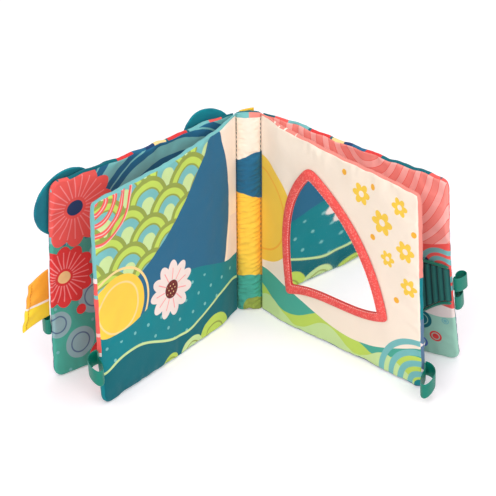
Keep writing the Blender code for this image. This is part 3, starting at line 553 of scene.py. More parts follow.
def sew_leaf(name, leaf, seed, pressed=None, patches=()):
    """One padded leaf, sewn flat, stuffed and then bent the way it stands.

    pressed gives 1 where something lies on the leaf and keeps it smooth. The outer cloth of a cover
    falls in folds round the patches sewn on it."""
    columns = cell_lines(ROOT_TURN, ROOT_START, PAGE_WIDTH, CLOTH_CELL, EDGE_TURN)
    rows = cell_lines(EDGE_TURN, 0.0, PAGE_HEIGHT, CLOTH_CELL, EDGE_TURN)
    last_column = len(columns) - 1
    last_row = len(rows) - 1
    piece, column, row, is_front = cut_cloth(name, last_column, last_row, 2)
    from_free = PAGE_WIDTH - columns[column]
    at_top = rows[row] > PAGE_HEIGHT / 2
    from_end = np.where(at_top, PAGE_HEIGHT - rows[row], rows[row])
    from_free, from_end, edge = round_corner(from_free, from_end)
    s = PAGE_WIDTH - from_free
    z = np.where(at_top, PAGE_HEIGHT - from_end, from_end)
    half = leaf.half_thickness(s, edge) * quarter_round((s - ROOT_START) / ROOT_HALF)

    is_page = leaf.layer > 0
    from_rim = np.minimum(np.minimum(row, last_row - row), last_column - column)
    on_seam = is_front & (at_top | is_page) & (from_rim == EDGE_SEAM_LINE)
    half -= EDGE_SEAM_DEPTH * on_seam * ease(s / ROOT_TAPER)
    in_front_cloth = is_front & ((from_rim if is_page else last_row - row) >= EDGE_SEAM_LINE)
    is_back_face = [not in_front_cloth[list(face.vertices)].all() for face in piece.data.polygons]
    piece.data.polygons.foreach_set("material_index", np.array(is_back_face, np.int32))
    lay_flat(piece, s, z)
    set_points(piece, np.stack([s, np.where(is_front, half, -half), z], axis=1))
    close_cloth(piece)

    s, n, z = points_of(piece).T
    moved = stuff(piece, np.abs(n) < 2 * SEWN_REACH, slack=0.014, pressure=0.45, cap=0.0020, seed=seed)
    from_end = np.minimum(z, PAGE_HEIGHT - z)
    from_edge = np.minimum(from_end, PAGE_WIDTH - s)
    at_edge = 1 - (1 - STUFFING_EDGE_SHARE) * ease(from_edge / STUFFING_REACH)
    free = 1 - (pressed(s, z, n) if pressed else 0)
    moved *= (ease((s - ROOT_START) / ROOT_TAPER) ** 0.5 * at_edge * free)[:, None]
    drawn_s, drawn_z = drawn_in(s, z)
    drawn_z = drawn_z + top_rise(s, z, PAGE_TOP_WAVE if is_page else COVER_TOP_WAVE, seed)
    puckers = np.sign(n) * edge_puckers(s, PAGE_WIDTH - s, from_end, seed) * free
    lift = leaf.middle(s) + n + np.sign(n) * HALF_GAP + moved[:, 1] + puckers
    if not is_page:
        lift -= fold_rise(s, z, from_edge, patches) * (n < 0)
    set_points(piece, leaf.place(drawn_s + moved[:, 0], np.maximum(drawn_z + moved[:, 2], 0.0), lift))
    close_cloth(piece)
    smooth_off(piece)
    return piece


class Print(Finish):
    """Cotton printed with flat inks. Places on the cloth are in millimetres from its seam and foot."""

    def __init__(self, name, ground):
        super().__init__(name, 0.8, Sheen_Weight=0.08, Sheen_Roughness=0.5, Specular_IOR_Level=0.25)
        self.spot = self.add("VectorMath", {"operation": "SCALE"}, {0: self.flat(), "Scale": 1000.0})
        self.u, self.v = self.axes(self.spot)
        self.ink = ground

    def inside(self, distance, softness=0.25):
        return distance.maths("MULTIPLY_ADD", -1 / softness, 0.5, clamp=True)

    def lay(self, mask, colour):
        self.ink = self.mixed(mask, self.ink, colour)

    def reach(self, u, v):
        return self.add("VectorMath", {"operation": "DISTANCE"}, {0: self.spot, 1: (u, v, 0.0)}, 1)

    def disc(self, u, v, radius):
        return self.inside(self.reach(u, v) - radius)

    def ring(self, u, v, radius, width):
        return self.inside(abs(self.reach(u, v) - radius) - width / 2)

    def hill(self, height, swing, length, phase=0.0):
        """All that lies below a rolling line."""
        line = (self.u * (2 * math.pi / length) + phase).maths("SINE") * swing + height
        return self.inside(self.v - line)

    def bank(self, width, swing, length, phase=0.0):
        """All that lies nearer the seam than a rolling upright line."""
        line = (self.v * (2 * math.pi / length) + phase).maths("SINE") * swing + width
        return self.inside(self.u - line)

    def rim(self):
        """The cloth that turns round the top and the free edge of a leaf."""
        return 1 - self.inside(self.v - RIM_TOP_MM) * self.inside(self.u - RIM_FREE_MM)

    def angle(self, u, v):
        return (self.v - v).maths("ARCTAN2", self.u - u)

    def flower(self, u, v, radius, petals, depth=0.28):
        """A round flower whose petals bulge by a share of its radius."""
        bulge = abs((self.angle(u, v) * (petals / 2)).maths("COSINE"))
        return self.inside(self.reach(u, v) - (bulge * (radius * depth) + radius * (1 - depth)))

    def rays(self, u, v, count, width, inner, outer):
        """Thin lines that run outwards from a point."""
        reach = self.reach(u, v)
        across = abs((self.angle(u, v) * (count / 2)).maths("SINE")) * reach * (2 / count)
        return self.inside(across - width / 2) * self.inside(reach - outer) * self.inside(inner - reach)

    def ripples(self, u, v, period, share, inner, outer):
        """Bands round a point. share is how much of each period a band takes."""
        reach = self.reach(u, v)
        across = abs((reach % period) - period / 2)
        return (self.inside(across - period * share / 2) * self.inside(reach - outer)
                * self.inside(inner - reach))

    def fans(self, width, rise, offset=0.0):
        """Rows of overlapping fans: how far each place lies from the middle of its own fan."""
        v = self.v + offset
        row = (v / rise).maths("FLOOR")
        reaches = [self.fan_reach(v, row + step, width, rise) for step in (-1.0, 0.0, 1.0)]
        nearer = reaches[2]
        for reach in (reaches[1], reaches[0]):
            is_own = reach.maths("LESS_THAN", width / 2)
            nearer = is_own * reach + (1 - is_own) * nearer
        return nearer

    def fan_reach(self, v, row, width, rise):
        across = ((self.u + (row % 2.0) * (width / 2)) % width) - width / 2
        upward = v - row * rise
        return (across * across + upward * upward).maths("SQRT")

    def dots(self, pitch, radius, offset=0.0):
        """Dots in rows, each row set between the dots of the next."""
        rise = pitch * 0.87
        v = self.v + offset
        row = (v / rise).maths("FLOOR")
        across = ((self.u + (row % 2.0) * (pitch / 2)) % pitch) - pitch / 2
        upward = v - (row + 0.5) * rise
        return self.inside((across * across + upward * upward).maths("SQRT") - radius)

    def woven(self, gathers=None):
        """Ends the print: ink that takes unevenly, the cloth's threads and its faint soft creases."""
        patch = self.noise(self.spot, 0.035, 3.0)
        self.dye(self.ink, patch, 0.12)
        threads = self.ribs(self.u, THREAD_PITCH_MM) * self.ribs(self.v, THREAD_PITCH_MM)
        creases = gathers * 0.9 if gathers else self.noise(self.spot, 0.11, 2.0, 0.6) * 0.25
        self.emboss(creases + threads * 0.02, 0.5, 0.0010)
        self.wear("Roughness", patch.maths("MULTIPLY_ADD", 0.12, 0.76))
        return self.material


left_page = sew_leaf("left_page_pad", LEAVES["left_page"], 3)

dusk = Print("left_page_print", PETROL)
fan = dusk.fans(46.0, 15.0, 5.0)
fan_edge = dusk.u * -0.85 + (dusk.u * (2 * math.pi / 120)).maths("SINE") * 6.0 + 198.0
upper = dusk.inside(fan_edge - dusk.v)
for inset, ink in ((0.0, OLIVE), (3.6, LIME), (8.4, OLIVE), (9.8, AQUA), (16.0, PALE_LIME)):
    dusk.lay(upper * dusk.inside(fan - (23.0 - inset)), ink)
dusk.lay(dusk.bank(24.0, 8.0, 190.0, 1.2), CREAM)
dusk.lay(dusk.bank(20.0, 8.0, 190.0, 1.2) * dusk.hill(88.0, 6.0, 150.0), PINK_CREAM)
dusk.lay(dusk.ripples(171.0, 172.0, 9.0, 0.5, 0.0, 41.0), CORAL)
dusk.lay(dusk.ripples(171.0, 172.0, 9.0, 0.1, 0.0, 41.0), PALE_PINK)
dusk.lay(dusk.disc(150.0, 74.0, 27.0), YELLOW)
dusk.lay(dusk.ring(150.0, 74.0, 20.5, 1.5) + dusk.ring(150.0, 74.0, 31.5, 2.0), APRICOT)
dusk.lay(dusk.hill(62.0, 9.0, 150.0, 4.6), TEAL)
dusk.lay(dusk.hill(55.0, 9.0, 150.0, 4.6) * dusk.dots(15.0, 1.4), AQUA)
dusk.lay(dusk.hill(27.0, 8.0, 120.0, 0.6), PALE_LIME)
dusk.lay(dusk.hill(24.8, 8.0, 120.0, 0.6), DEEP_TEAL)
for place, radius, ink in ((40.0, 19.0, LIME), (68.0, 13.0, PALE_LIME), (94.0, 10.0, LIME)):
    dusk.lay(dusk.disc(place, -2.0, radius), ink)
    dusk.lay(dusk.ring(place, -2.0, radius * 0.6, 1.3), OLIVE)
dusk.lay(dusk.flower(92.0, 64.0, 24.0, 11, 0.24), PINK_CREAM)
dusk.lay(dusk.rays(92.0, 64.0, 11, 0.8, 8.0, 17.5), PINK)
dusk.lay(dusk.disc(92.0, 64.0, 7.5), MAROON)
dusk.lay(dusk.dots(3.6, 0.55) * dusk.disc(92.0, 64.0, 6.0), APRICOT)
left_page.data.materials.append(dusk.woven())

coral_back = Print("left_page_back_print", CORAL)
fan = coral_back.fans(36.0, 11.0, 4.0)
for reach, half_line in ((14.9, 0.7), (9.8, 0.6)):
    coral_back.lay(coral_back.inside(abs(fan - reach) - half_line), PALE_PINK)
coral_back.lay(coral_back.inside(fan - 4.0), PINK)
coral_back.lay(coral_back.inside(coral_back.v - 6.0), TEAL)
page_rim = coral_back.rim()
for top, ink in ((200.0, AQUA), (106.0, PINK_CREAM), (102.0, CORAL), (92.0, AQUA), (89.0, CORAL),
                 (60.0, PALE_PINK), (57.0, CORAL), (44.0, PINK_CREAM), (41.0, TEAL)):
    coral_back.lay(page_rim * coral_back.inside(coral_back.v - top), ink)
left_page.data.materials.append(coral_back.woven())

fit(left_page, "left_page", "page_print", *["left_page_" + layer for layer in LEAF_LAYERS], fill=0.35)


# Right page.
# A second padded leaf, made like the left page. Its front print is a cream field with a low sun, hills
# and small flowers, and a mirror is sewn on it later. Its back print has rolling bands.
MIRROR_MIDDLE = (0.083, 0.080)
MIRROR_SPREAD = (0.052, 0.062)
MIRROR_CALM = 0.35
ORANGE_YELLOW = shade(255, 185, 60)
SEA_GREEN = shade(74, 172, 152)
ROSE = shade(244, 144, 132)
SLATE = shade(90, 120, 150)


def under_mirror(s, z, n):
    spread = np.hypot((s - MIRROR_MIDDLE[0]) / MIRROR_SPREAD[0],
                      (z - MIRROR_MIDDLE[1]) / MIRROR_SPREAD[1])
    return (n > 0) * ease((1 + MIRROR_CALM - spread) / MIRROR_CALM)


right_page = sew_leaf("right_page_pad", LEAVES["right_page"], 5, under_mirror)

field = Print("right_page_print", CREAM)
field.lay(field.disc(-4.0, 92.0, 46.0), YELLOW)
field.lay(field.ring(-4.0, 92.0, 36.0, 1.5), ORANGE_YELLOW)
field.lay(field.hill(28.0, 12.0, 190.0, 1.4), SEA_GREEN)
field.lay(field.hill(28.0, 12.0, 190.0, 1.4) * field.hill(20.0, 8.0, 90.0, 2.4), LIME)
field.lay(field.hill(11.0, 7.0, 62.0, 0.4), PALE_LIME)
field.lay(field.ripples(171.0, 0.0, 9.0, 0.55, 9.0, 45.0), AQUA)
field.lay(field.disc(171.0, 0.0, 9.0), TEAL)
for u, v, radius in ((112.0, 148.0, 9.0), (134.0, 132.0, 10.5), (152.0, 152.0, 8.0), (157.0, 116.0, 9.0),
                     (139.0, 103.0, 7.0), (160.0, 86.0, 8.0)):
    field.lay(field.flower(u, v, radius, 6, 0.4), YELLOW)
    field.lay(field.disc(u, v, radius * 0.28), CREAM)
for u, v in ((124.0, 116.0), (147.0, 70.0), (124.0, 158.0), (166.0, 134.0), (94.0, 160.0)):
    field.lay(field.disc(u, v, 2.5), ORANGE_YELLOW)
right_page.data.materials.append(field.woven())

banded_back = Print("right_page_back_print", ROSE)
banded_back.lay(banded_back.dots(17.0, 2.2) * (1 - banded_back.rim()), CREAM)
banded_back.lay(banded_back.hill(95.0, 6.0, 85.0, 0.5), TEAL)
banded_back.lay(banded_back.hill(66.0, 7.0, 110.0, 2.2), SLATE)
banded_back.lay(banded_back.hill(50.0, 7.0, 110.0, 2.2) * banded_back.dots(13.0, 1.9), PINK_CREAM)
shreds = banded_back.noise(banded_back.spot, 0.35, 1.0)
banded_back.lay(banded_back.rim() * banded_back.inside(banded_back.u - 42.0)
                * banded_back.inside(0.57 - shreds, 0.03), CREAM)
right_page.data.materials.append(banded_back.woven())

fit(right_page, "right_page", "right_page_print", *["right_page_" + layer for layer in LEAF_LAYERS],
    fill=0.35)


# Front cover.
# The left leaf of the outer sheet. Its inner face is printed with big coral flowers and slate discs on
# sea green, and its outer face with large plain flowers and dots on deep teal. Two ears lie on its back.
CORNER_EAR = (0.1515, 0.1445, 0.0280)
SPINE_EAR = (0.022, 0.1595, 0.0205)
RED_CORAL = shade(230, 60, 60)
NAVY = shade(30, 65, 110)
PALE_SLATE = shade(148, 186, 190)


def under_ears(s, z, n):
    spreads = [np.hypot(s - ear_s, z - ear_z) / radius
               for ear_s, ear_z, radius in (CORNER_EAR, SPINE_EAR)]
    return (n < 0) * ease(2.8 - 2 * np.minimum(*spreads))


front_cover = sew_leaf("front_cover_pad", LEAVES["left_cover"], 7, under_ears, (CORNER_EAR, SPINE_EAR))

garden = Print("front_cover_inner_print", SEA_GREEN)
garden.lay(garden.inside(116.0 - garden.v), AQUA)
sky_part = garden.inside(112.0 - garden.v)
for share, ink in ((0.55, PETROL), (0.06, AQUA)):
    garden.lay(garden.ripples(60.0, 96.0, 22.0, share, 20.0, 130.0) * sky_part, ink)
garden.lay(garden.dots(21.0, 1.4, 6.0) * garden.inside(garden.v - 110.0), AQUA)
for u, v, radius in ((126.0, 96.0, 12.0), (133.0, 60.0, 15.0), (166.0, 44.0, 11.0), (148.0, 24.0, 13.0),
                     (112.0, 34.0, 12.0)):
    garden.lay(garden.disc(u, v, radius), PALE_SLATE)
    garden.lay(garden.ring(u, v, radius * 0.62, 1.2), SLATE)
for u, v, radius, ink, eye in ((150.0, 142.0, 34.0, CORAL, NAVY),
                               (160.0, 84.0, 27.0, RED_CORAL, APRICOT)):
    garden.lay(garden.flower(u, v, radius, 12, 0.16), ink)
    garden.lay(garden.rays(u, v, 24, 0.9, radius * 0.28, radius * 0.8), PINK)
    garden.lay(garden.disc(u, v, radius * 0.2), eye)
garden.lay(garden.disc(128.0, 8.0, 12.0), RED_CORAL)
garden.lay(garden.disc(146.0, 52.0, 4.2), RED_CORAL)
front_cover.data.materials.append(garden.woven())

bouquet = Print("cover_outer_print", DEEP_TEAL)
bouquet.lay(bouquet.hill(46.0, 9.0, 120.0, 0.8), NAVY)
inner = 1 - bouquet.rim()
bouquet.lay(bouquet.dots(19.0, 1.7) * inner, AQUA)
for u, radius, ink in ((19.0, 7.0, CORAL), (36.0, 6.0, AQUA), (53.0, 9.0, RED_CORAL),
                       (70.0, 6.0, APRICOT), (88.0, 8.0, PETROL), (28.0, 5.0, AQUA), (79.0, 4.0, NAVY)):
    bouquet.lay(bouquet.disc(u, 170.0, radius), ink)
for u, v, radius, ink, eye in ((44.0, 118.0, 30.0, CORAL, APRICOT), (118.0, 92.0, 36.0, TEAL, LIME),
                               (66.0, 42.0, 27.0, APRICOT, RED_CORAL), (146.0, 26.0, 24.0, PINK, NAVY),
                               (104.0, 158.0, 15.0, RED_CORAL, CREAM), (8.0, 66.0, 20.0, YELLOW, CORAL),
                               (168.0, 150.0, 24.0, CORAL, PETROL)):
    bouquet.lay(bouquet.flower(u, v, radius, 9, 0.2), ink)
    bouquet.lay(bouquet.rays(u, v, 18, 0.8, radius * 0.3, radius * 0.72) * inner, eye)
    bouquet.lay(bouquet.disc(u, v, radius * 0.22) * inner, eye)
front_cover.data.materials.append(bouquet.woven())

fit(front_cover, "left_cover", "cover_inner_print", *["front_cover_" + layer for layer in LEAF_LAYERS],
    fill=0.35)


# Back cover.
# The right leaf of the outer sheet. Its inner face has pink ripples above a rolling shore, and bubbles
# on mint below. Its outer face has the same print as the front cover's.
PANEL_WIDTH = 0.0425
PANEL_END = PAGE_WIDTH - 0.0005
PANEL_START = PANEL_END - PANEL_WIDTH
PANEL_TOP = 0.0905
PANEL_LOW = 0.038
PANEL_HIGH = 0.060
PANEL_MARGIN = 0.012
MINT = shade(160, 210, 190)
PERIWINKLE = shade(80, 110, 190)
SALMON = shade(250, 152, 142)
BLUSH = shade(255, 190, 182)


def under_panel(s, z, n):
    beside = ease((s - PANEL_START + PANEL_MARGIN) / PANEL_MARGIN)
    above = ease((z - PANEL_LOW + PANEL_MARGIN) / PANEL_MARGIN)
    below = ease((PANEL_TOP + PANEL_MARGIN - z) / PANEL_MARGIN)
    return (n > 0) * beside * above * below


back_cover = sew_leaf("back_cover_pad", LEAVES["right_cover"], 11, under_panel)

shore = Print("back_cover_inner_print", SALMON)
shore.lay(shore.ripples(96.0, 176.0, 11.0, 0.5, 8.0, 96.0), BLUSH)
shore.lay(shore.ripples(96.0, 176.0, 5.5, 0.07, 8.0, 96.0), CORAL)
shore.lay(shore.hill(112.0, 5.0, 90.0, 1.0), CORAL)
shore.lay(shore.disc(140.0, 84.0, 16.0), NAVY)
shore.lay(shore.ripples(164.0, 88.0, 7.0, 0.6, 0.0, 21.0), AQUA)
shore.lay(shore.hill(56.0, 4.0, 100.0, 0.0), PINK_CREAM)
shore.lay(shore.hill(44.0, 3.0, 60.0, 0.9), MINT)
for u, v, radius, ink in ((143.0, 35.0, 8.5, DEEP_TEAL), (154.0, 21.0, 5.0, RED_CORAL),
                          (141.0, 12.0, 5.5, PERIWINKLE), (163.0, 38.0, 3.0, AQUA),
                          (128.0, 24.0, 6.0, CORAL), (112.0, 34.0, 5.0, PERIWINKLE),
                          (98.0, 18.0, 8.0, DEEP_TEAL), (76.0, 30.0, 6.0, RED_CORAL)):
    shore.lay(shore.disc(u, v, radius), ink)
    shore.lay(shore.ring(u, v, radius * 0.62, 0.7), MINT)
back_cover.data.materials.append(shore.woven())
back_cover.data.materials.append(bouquet.material)

fit(back_cover, "right_cover", "cover_inner_print", *["back_cover_" + layer for layer in LEAF_LAYERS],
    fill=0.35)


# Padded spine.
# Between the two seams each sheet has its own narrow pad of the same cotton and wadding. The extra cloth
# of each pad gathers into level wrinkles, and its flat margins are sewn down over the seams.
SPINE_HALF = 0.0090
SPINE_MARGIN_END = 0.0097
SPINE_END_ROUND = 0.0030
SPINE_TOP_RISE = 0.0010
SPINE_NOTCH = 0.0015
SPINE_NOTCH_HALF = 0.0024
SPINE_NOTCH_RISE = 0.010
WRINKLE_HEIGHT = 0.00085
WRINKLE_SPACING = 0.0046
WRINKLE_SLANT = 0.0032
WRINKLE_SWAY = 1.9
WRINKLE_SWAY_LENGTH = 0.0041
WRINKLE_CALM_TOP = 0.140
SPINE_CELL = 0.0010
INNER_SPINE_BASE = 0.00105
INNER_SPINE_CROWN = 0.0039
COVER_SPINE_BASE = 0.00185
COVER_SPINE_CROWN = 0.0030
SPINE_BACK_GAP = 0.0003
SPINE_TURN = (0.0, 0.0006, 0.0016, 0.0032)
SPINE_HALF_COLUMNS = (0.0014, 0.0029, 0.0043, 0.0059, 0.0072, 0.0081, 0.0087, 0.0091, SPINE_MARGIN_END)


def wrinkles(x, z, phase):
    """Level gathers that start in both valleys and die out towards the crown and the plain top."""
    out = np.abs(x) / SPINE_HALF
    sides = []
    for slant, shift in ((-WRINKLE_SLANT, 0.0), (WRINKLE_SLANT, 1.9)):
        sway = WRINKLE_SWAY * np.sin(z / WRINKLE_SWAY_LENGTH + phase + shift)
        sides.append(np.sin(2 * math.pi * (z + slant * (1 - out)) / WRINKLE_SPACING + sway))
    to_right = ease((x / SPINE_HALF + 0.6) / 1.2)
    gathers = sides[0] * (1 - to_right) + sides[1] * to_right
    at_level = 0.4 + 0.6 * ease((WRINKLE_CALM_TOP - z) / 0.015) * ease(z / 0.020 + 0.4)
    across = (0.45 + 0.55 * ease(out / 0.7)) * ease((1 - out) / 0.12)
    return WRINKLE_HEIGHT * gathers * at_level * across


def sew_spine(name, layer, base, crown, seed):
    """One sheet's spine pad: flat margins, a round crown between them and a small notch at its foot."""
    rows = cell_lines(SPINE_TURN, 0.0, PAGE_HEIGHT, SPINE_CELL, SPINE_TURN)
    half_columns = np.array(SPINE_HALF_COLUMNS)
    across = np.concatenate([-half_columns[::-1], [0.0], half_columns])
    piece, column, row, is_front = cut_cloth(name, len(across) - 1, len(rows) - 1, 2)
    x = across[column]
    z = rows[row]
    from_end = np.minimum(z, PAGE_HEIGHT - z)
    end_share = quarter_round(from_end / SPINE_END_ROUND)
    rise = np.sqrt(np.clip(1 - (x / SPINE_HALF) ** 2, 0.0, 1.0))
    z = z + (ROOT_LIFT + SPINE_TOP_RISE * rise) * ease(1 - (PAGE_HEIGHT - z) / ROOT_LIFT_DEPTH)
    z = z + SPINE_NOTCH * np.exp(-(x / SPINE_NOTCH_HALF) ** 2) * ease(1 - z / SPINE_NOTCH_RISE)
    is_rim = (from_end == 0) | (np.abs(x) == SPINE_MARGIN_END)
    front = SPINE_BACK_GAP + (base - SPINE_BACK_GAP) * end_share + crown * rise * end_share
    n = np.where(is_front & ~is_rim, front, SPINE_BACK_GAP)
    set_points(piece, np.stack([x, -layer * n, z], axis=1))
    close_cloth(piece)
    x, y, z = points_of(piece).T
    held = (np.abs(x) > SPINE_HALF) | (np.abs(y) < SPINE_BACK_GAP + SEWN_REACH)
    moved = stuff(piece, held, slack=0.05, pressure=0.8, cap=0.0013, seed=seed)
    moved[:, 1] -= layer * wrinkles(x, z, seed)
    set_points(piece, np.stack([x, y, z], axis=1) + moved * ~held[:, None])
    smooth_off(piece)
    return piece


class UprightPrint(Print):
    """A print on a piece that stands upright in the middle and never moves."""

    def flat(self):
        place = self.add("TexCoord", None, None, "Object")
        across = self.add("SeparateXYZ", None, {0: place}, 0)
        upward = self.add("SeparateXYZ", None, {0: place}, 2)
        return self.add("CombineXYZ", None, {0: across, 1: upward})

    def gathers(self):
        """Fine level creases, much longer than they are high."""
        squeezed = self.add("CombineXYZ", None, {0: self.u * 0.12, 1: self.v * 0.55})
        return self.noise(squeezed, 1.0, 2.0, 0.5)


inner_spine = sew_spine("inner_spine_pad", 1, INNER_SPINE_BASE, INNER_SPINE_CROWN, 13)
cover_spine = sew_spine("cover_spine_pad", -1, COVER_SPINE_BASE, COVER_SPINE_CROWN, 17)

spine_zones = UprightPrint("inner_spine_print", CREAM)
spine_zones.lay(spine_zones.hill(137.0, 4.0, 44.0, 0.4), PETROL)
spine_zones.lay(spine_zones.hill(102.0, 4.0, 50.0, 2.4), YELLOW)
# Painted shade: the yellow zone is painted orange towards both seam valleys, for the shade where the
# padded crown falls into them.
valley = abs(spine_zones.u + 0.8).maths("MULTIPLY_ADD", 0.22, -1.05, clamp=True)
spine_zones.lay(spine_zones.hill(102.0, 4.0, 50.0, 2.4) * valley, ORANGE_YELLOW)
spine_zones.lay(spine_zones.hill(31.0, 3.0, 40.0, 1.6), SEA_GREEN)
spine_zones.lay(spine_zones.disc(4.0, 4.0, 9.0), OLIVE)
cap = spine_zones.inside(171.0 - spine_zones.u * spine_zones.u / 68.0 - spine_zones.v)
spine_zones.lay(cap, AQUA)
spine_zones.lay(cap * spine_zones.inside(0.5 - spine_zones.u), ROSE)
inner_spine.data.materials.append(spine_zones.woven(spine_zones.gathers()))

spine_back = UprightPrint("cover_spine_print", DEEP_TEAL)
spine_back.lay(spine_back.hill(46.0, 5.0, 60.0, 0.8), NAVY)
spine_back.lay(spine_back.hill(128.0, 3.0, 40.0) * (1 - spine_back.hill(92.0, 3.0, 40.0, 1.0)), CORAL)
spine_back.lay(spine_back.dots(9.0, 1.2), AQUA)
cover_spine.data.materials.append(spine_back.woven(spine_back.gathers()))

fit(inner_spine, "spine", "spine_print", "inner_spine_front_fabric", "inner_spine_back_fabric",
    "inner_spine_wadding", fill=0.5)
fit(cover_spine, "spine", "spine_print", "cover_spine_inner_fabric", "cover_spine_outer_fabric",
    "cover_spine_wadding", fill=0.5)


# Spine seams and their stitching.
# Both sheets are sewn through together on each side of the spine. The folded cloth of each seam takes
# the spine's print, and a row of dark thread shows as separate stitches in the valley.
STITCH_PITCH = 0.0038
STITCH_LENGTH = 0.0024
STITCH_JITTER = 0.0006
TACK_START = 0.158
TACK_PITCH = 0.0011
STITCH_X = 0.0092
STITCH_SWAY = 0.0002
SUNK_STITCH_TOP = 0.100
THREAD_HALF = 0.00022
THREAD_PROUD_SHARE = 0.4
THREAD_SUNK_SHARE = -0.45
DARK_GREEN_THREAD = shade(42, 88, 68)
SEAM_ROLL_HALF = 0.00062
SEAM_ROLL_ROUND = 0.0008
SEAM_ROLL_PINCH = 0.1
SEAM_ROLL_END_SHARE = 0.2
SEAM_ROLL_TURNS = 10
SEAM_ROLL_ROWS = 172


def roll_seam(name, side):
    """The folded cloth of one seam, pinched at every stitch."""
    piece, column, row, _ = cut_cloth(name, SEAM_ROLL_ROWS, SEAM_ROLL_TURNS)
    top = PAGE_HEIGHT + ROOT_LIFT
    z = column / SEAM_ROLL_ROWS * top
    angle = 2 * math.pi * row / SEAM_ROLL_TURNS
    pinch = 1 - SEAM_ROLL_PINCH + SEAM_ROLL_PINCH * np.cos(2 * math.pi * z / STITCH_PITCH)
    end_round = quarter_round(np.minimum(z, top - z) / SEAM_ROLL_ROUND)
    half = SEAM_ROLL_HALF * pinch * (SEAM_ROLL_END_SHARE + (1 - SEAM_ROLL_END_SHARE) * end_round)
    set_points(piece, np.stack([side * HINGE_X + half * np.cos(angle), half * np.sin(angle), z], axis=1))
    close_cloth(piece, fill_ends=True)
    smooth_off(piece)
    return piece


for side, seam_name in ((-1, "left_spine_seam"), (1, "right_spine_seam")):
    seam = roll_seam(seam_name + "_roll", side)
    seam.data.materials.append(spine_zones.material)
    fit(seam, "spine", "seam_cloth", seam_name)


def sew_stitches(name, starts, ends, outwards, thread_half, finish):
    """A row of separate stitches: one plump thread is shaped once and copied between each two holes."""
    deselect()
    bpy.ops.mesh.primitive_uv_sphere_add(segments=8, ring_count=8, radius=1.0)
    stitch = bpy.context.object
    row = bmesh.new()
    for start, end, outward in zip(starts, ends, outwards):
        before = len(row.verts)
        row.from_mesh(stitch.data)
        row.verts.ensure_lookup_table()
        along = end - start
        upward = Vector(outward).normalized()
        sideways = along.normalized().cross(upward).normalized()
        upward = sideways.cross(along.normalized())
        for vert in row.verts[before:]:
            across, height, run = vert.co
            plump_half = thread_half * (1 + run * run) ** 0.5
            vert.co = ((start + end) / 2 + along * (run / 2)
                       + (sideways * across + upward * height) * plump_half)
    mesh = bpy.data.meshes.new(name)
    row.to_mesh(mesh)
    row.free()
    bpy.data.objects.remove(stitch)
    stitches = bpy.data.objects.new(name, mesh)
    bpy.context.scene.collection.objects.link(stitches)
    mesh.materials.append(finish)
    close_cloth(stitches)
    smooth_off(stitches, 0)
    return stitches


def spun_thread(name, colour):
    """Twisted sewing thread, with the lay of its plies across it."""
    thread = Finish(name, 0.55, Sheen_Weight=0.3, Specular_IOR_Level=0.4)
    place = thread.add("TexCoord", None, None, "Object")
    ply = thread.noise(place, 2600.0)
    thread.dye(colour, ply, 0.5)
    thread.emboss(ply, 0.6, 0.0002)
    return thread.material


dark_thread = spun_thread("dark_green_thread", DARK_GREEN_THREAD)
hand = np.random.default_rng(31)
for side, node_name in ((-1, "left_seam_thread"), (1, "right_seam_thread")):
    levels = np.arange(SPINE_END_ROUND, PAGE_HEIGHT - SPINE_END_ROUND, STITCH_PITCH)
    levels = levels + hand.uniform(0, STITCH_JITTER, len(levels))
    if side < 0:
        tacks = np.arange(TACK_START, PAGE_HEIGHT - SPINE_END_ROUND, TACK_PITCH)
        levels = np.concatenate([levels, tacks])
    lifts = [THREAD_PROUD_SHARE if z > SUNK_STITCH_TOP else THREAD_SUNK_SHARE for z in levels]
    starts = [Vector((side * STITCH_X, -INNER_SPINE_BASE - THREAD_HALF * lift, z))
              for z, lift in zip(levels, lifts)]
    ends = [start + Vector((hand.uniform(-STITCH_SWAY, STITCH_SWAY), 0, STITCH_LENGTH))
            for start in starts]
    seam_stitches = sew_stitches(node_name + "_stitches", starts, ends,
                                 [Vector((0, -1, 0))] * len(starts), THREAD_HALF, dark_thread)
    fit(seam_stitches, "spine", "thread", node_name)


# Ribbon behind the spine.
# A short yellow satin ribbon is folded over and sewn to the back of the spine, so that its fold stands a
# little above the top edge.
SPINE_RIBBON_WIDTH = 0.0116
SPINE_RIBBON_X = -0.0014
SPINE_RIBBON_RISE = 0.0035
SPINE_RIBBON_DROP = 0.018
SPINE_RIBBON_FOLD = 0.0007
SPINE_RIBBON_SLANT = 0.20
SPINE_RIBBON_CELLS = (8, 36)
RIBBON = 0.0005
SATIN_WARP = 0.0004
SATIN_WEFT = 0.0006
YELLOW_SATIN = shade(250, 200, 50)
ORANGE_SATIN = shade(248, 150, 30)


def thicken(piece, thickness):
    """Turns a sheet into a closed solid, half its thickness on each side."""
    wall = piece.modifiers.new("Wall", "SOLIDIFY")
    wall.thickness = thickness
    wall.offset = 0.0
    bpy.ops.object.modifier_apply(modifier="Wall")
    close_cloth(piece)


def cut_strip(name, columns, rows, lay_point, flat_size, thickness):
    """A strip of tape or ribbon laid where lay_point says, then given its thickness and smoothed."""
    piece, column, row, _ = cut_cloth(name, columns, rows)
    across = column / columns
    along = row / rows
    lay_flat(piece, across * flat_size[0], along * flat_size[1])
    set_points(piece, lay_point(across, along))
    thicken(piece, thickness)
    smooth_off(piece)
    return piece


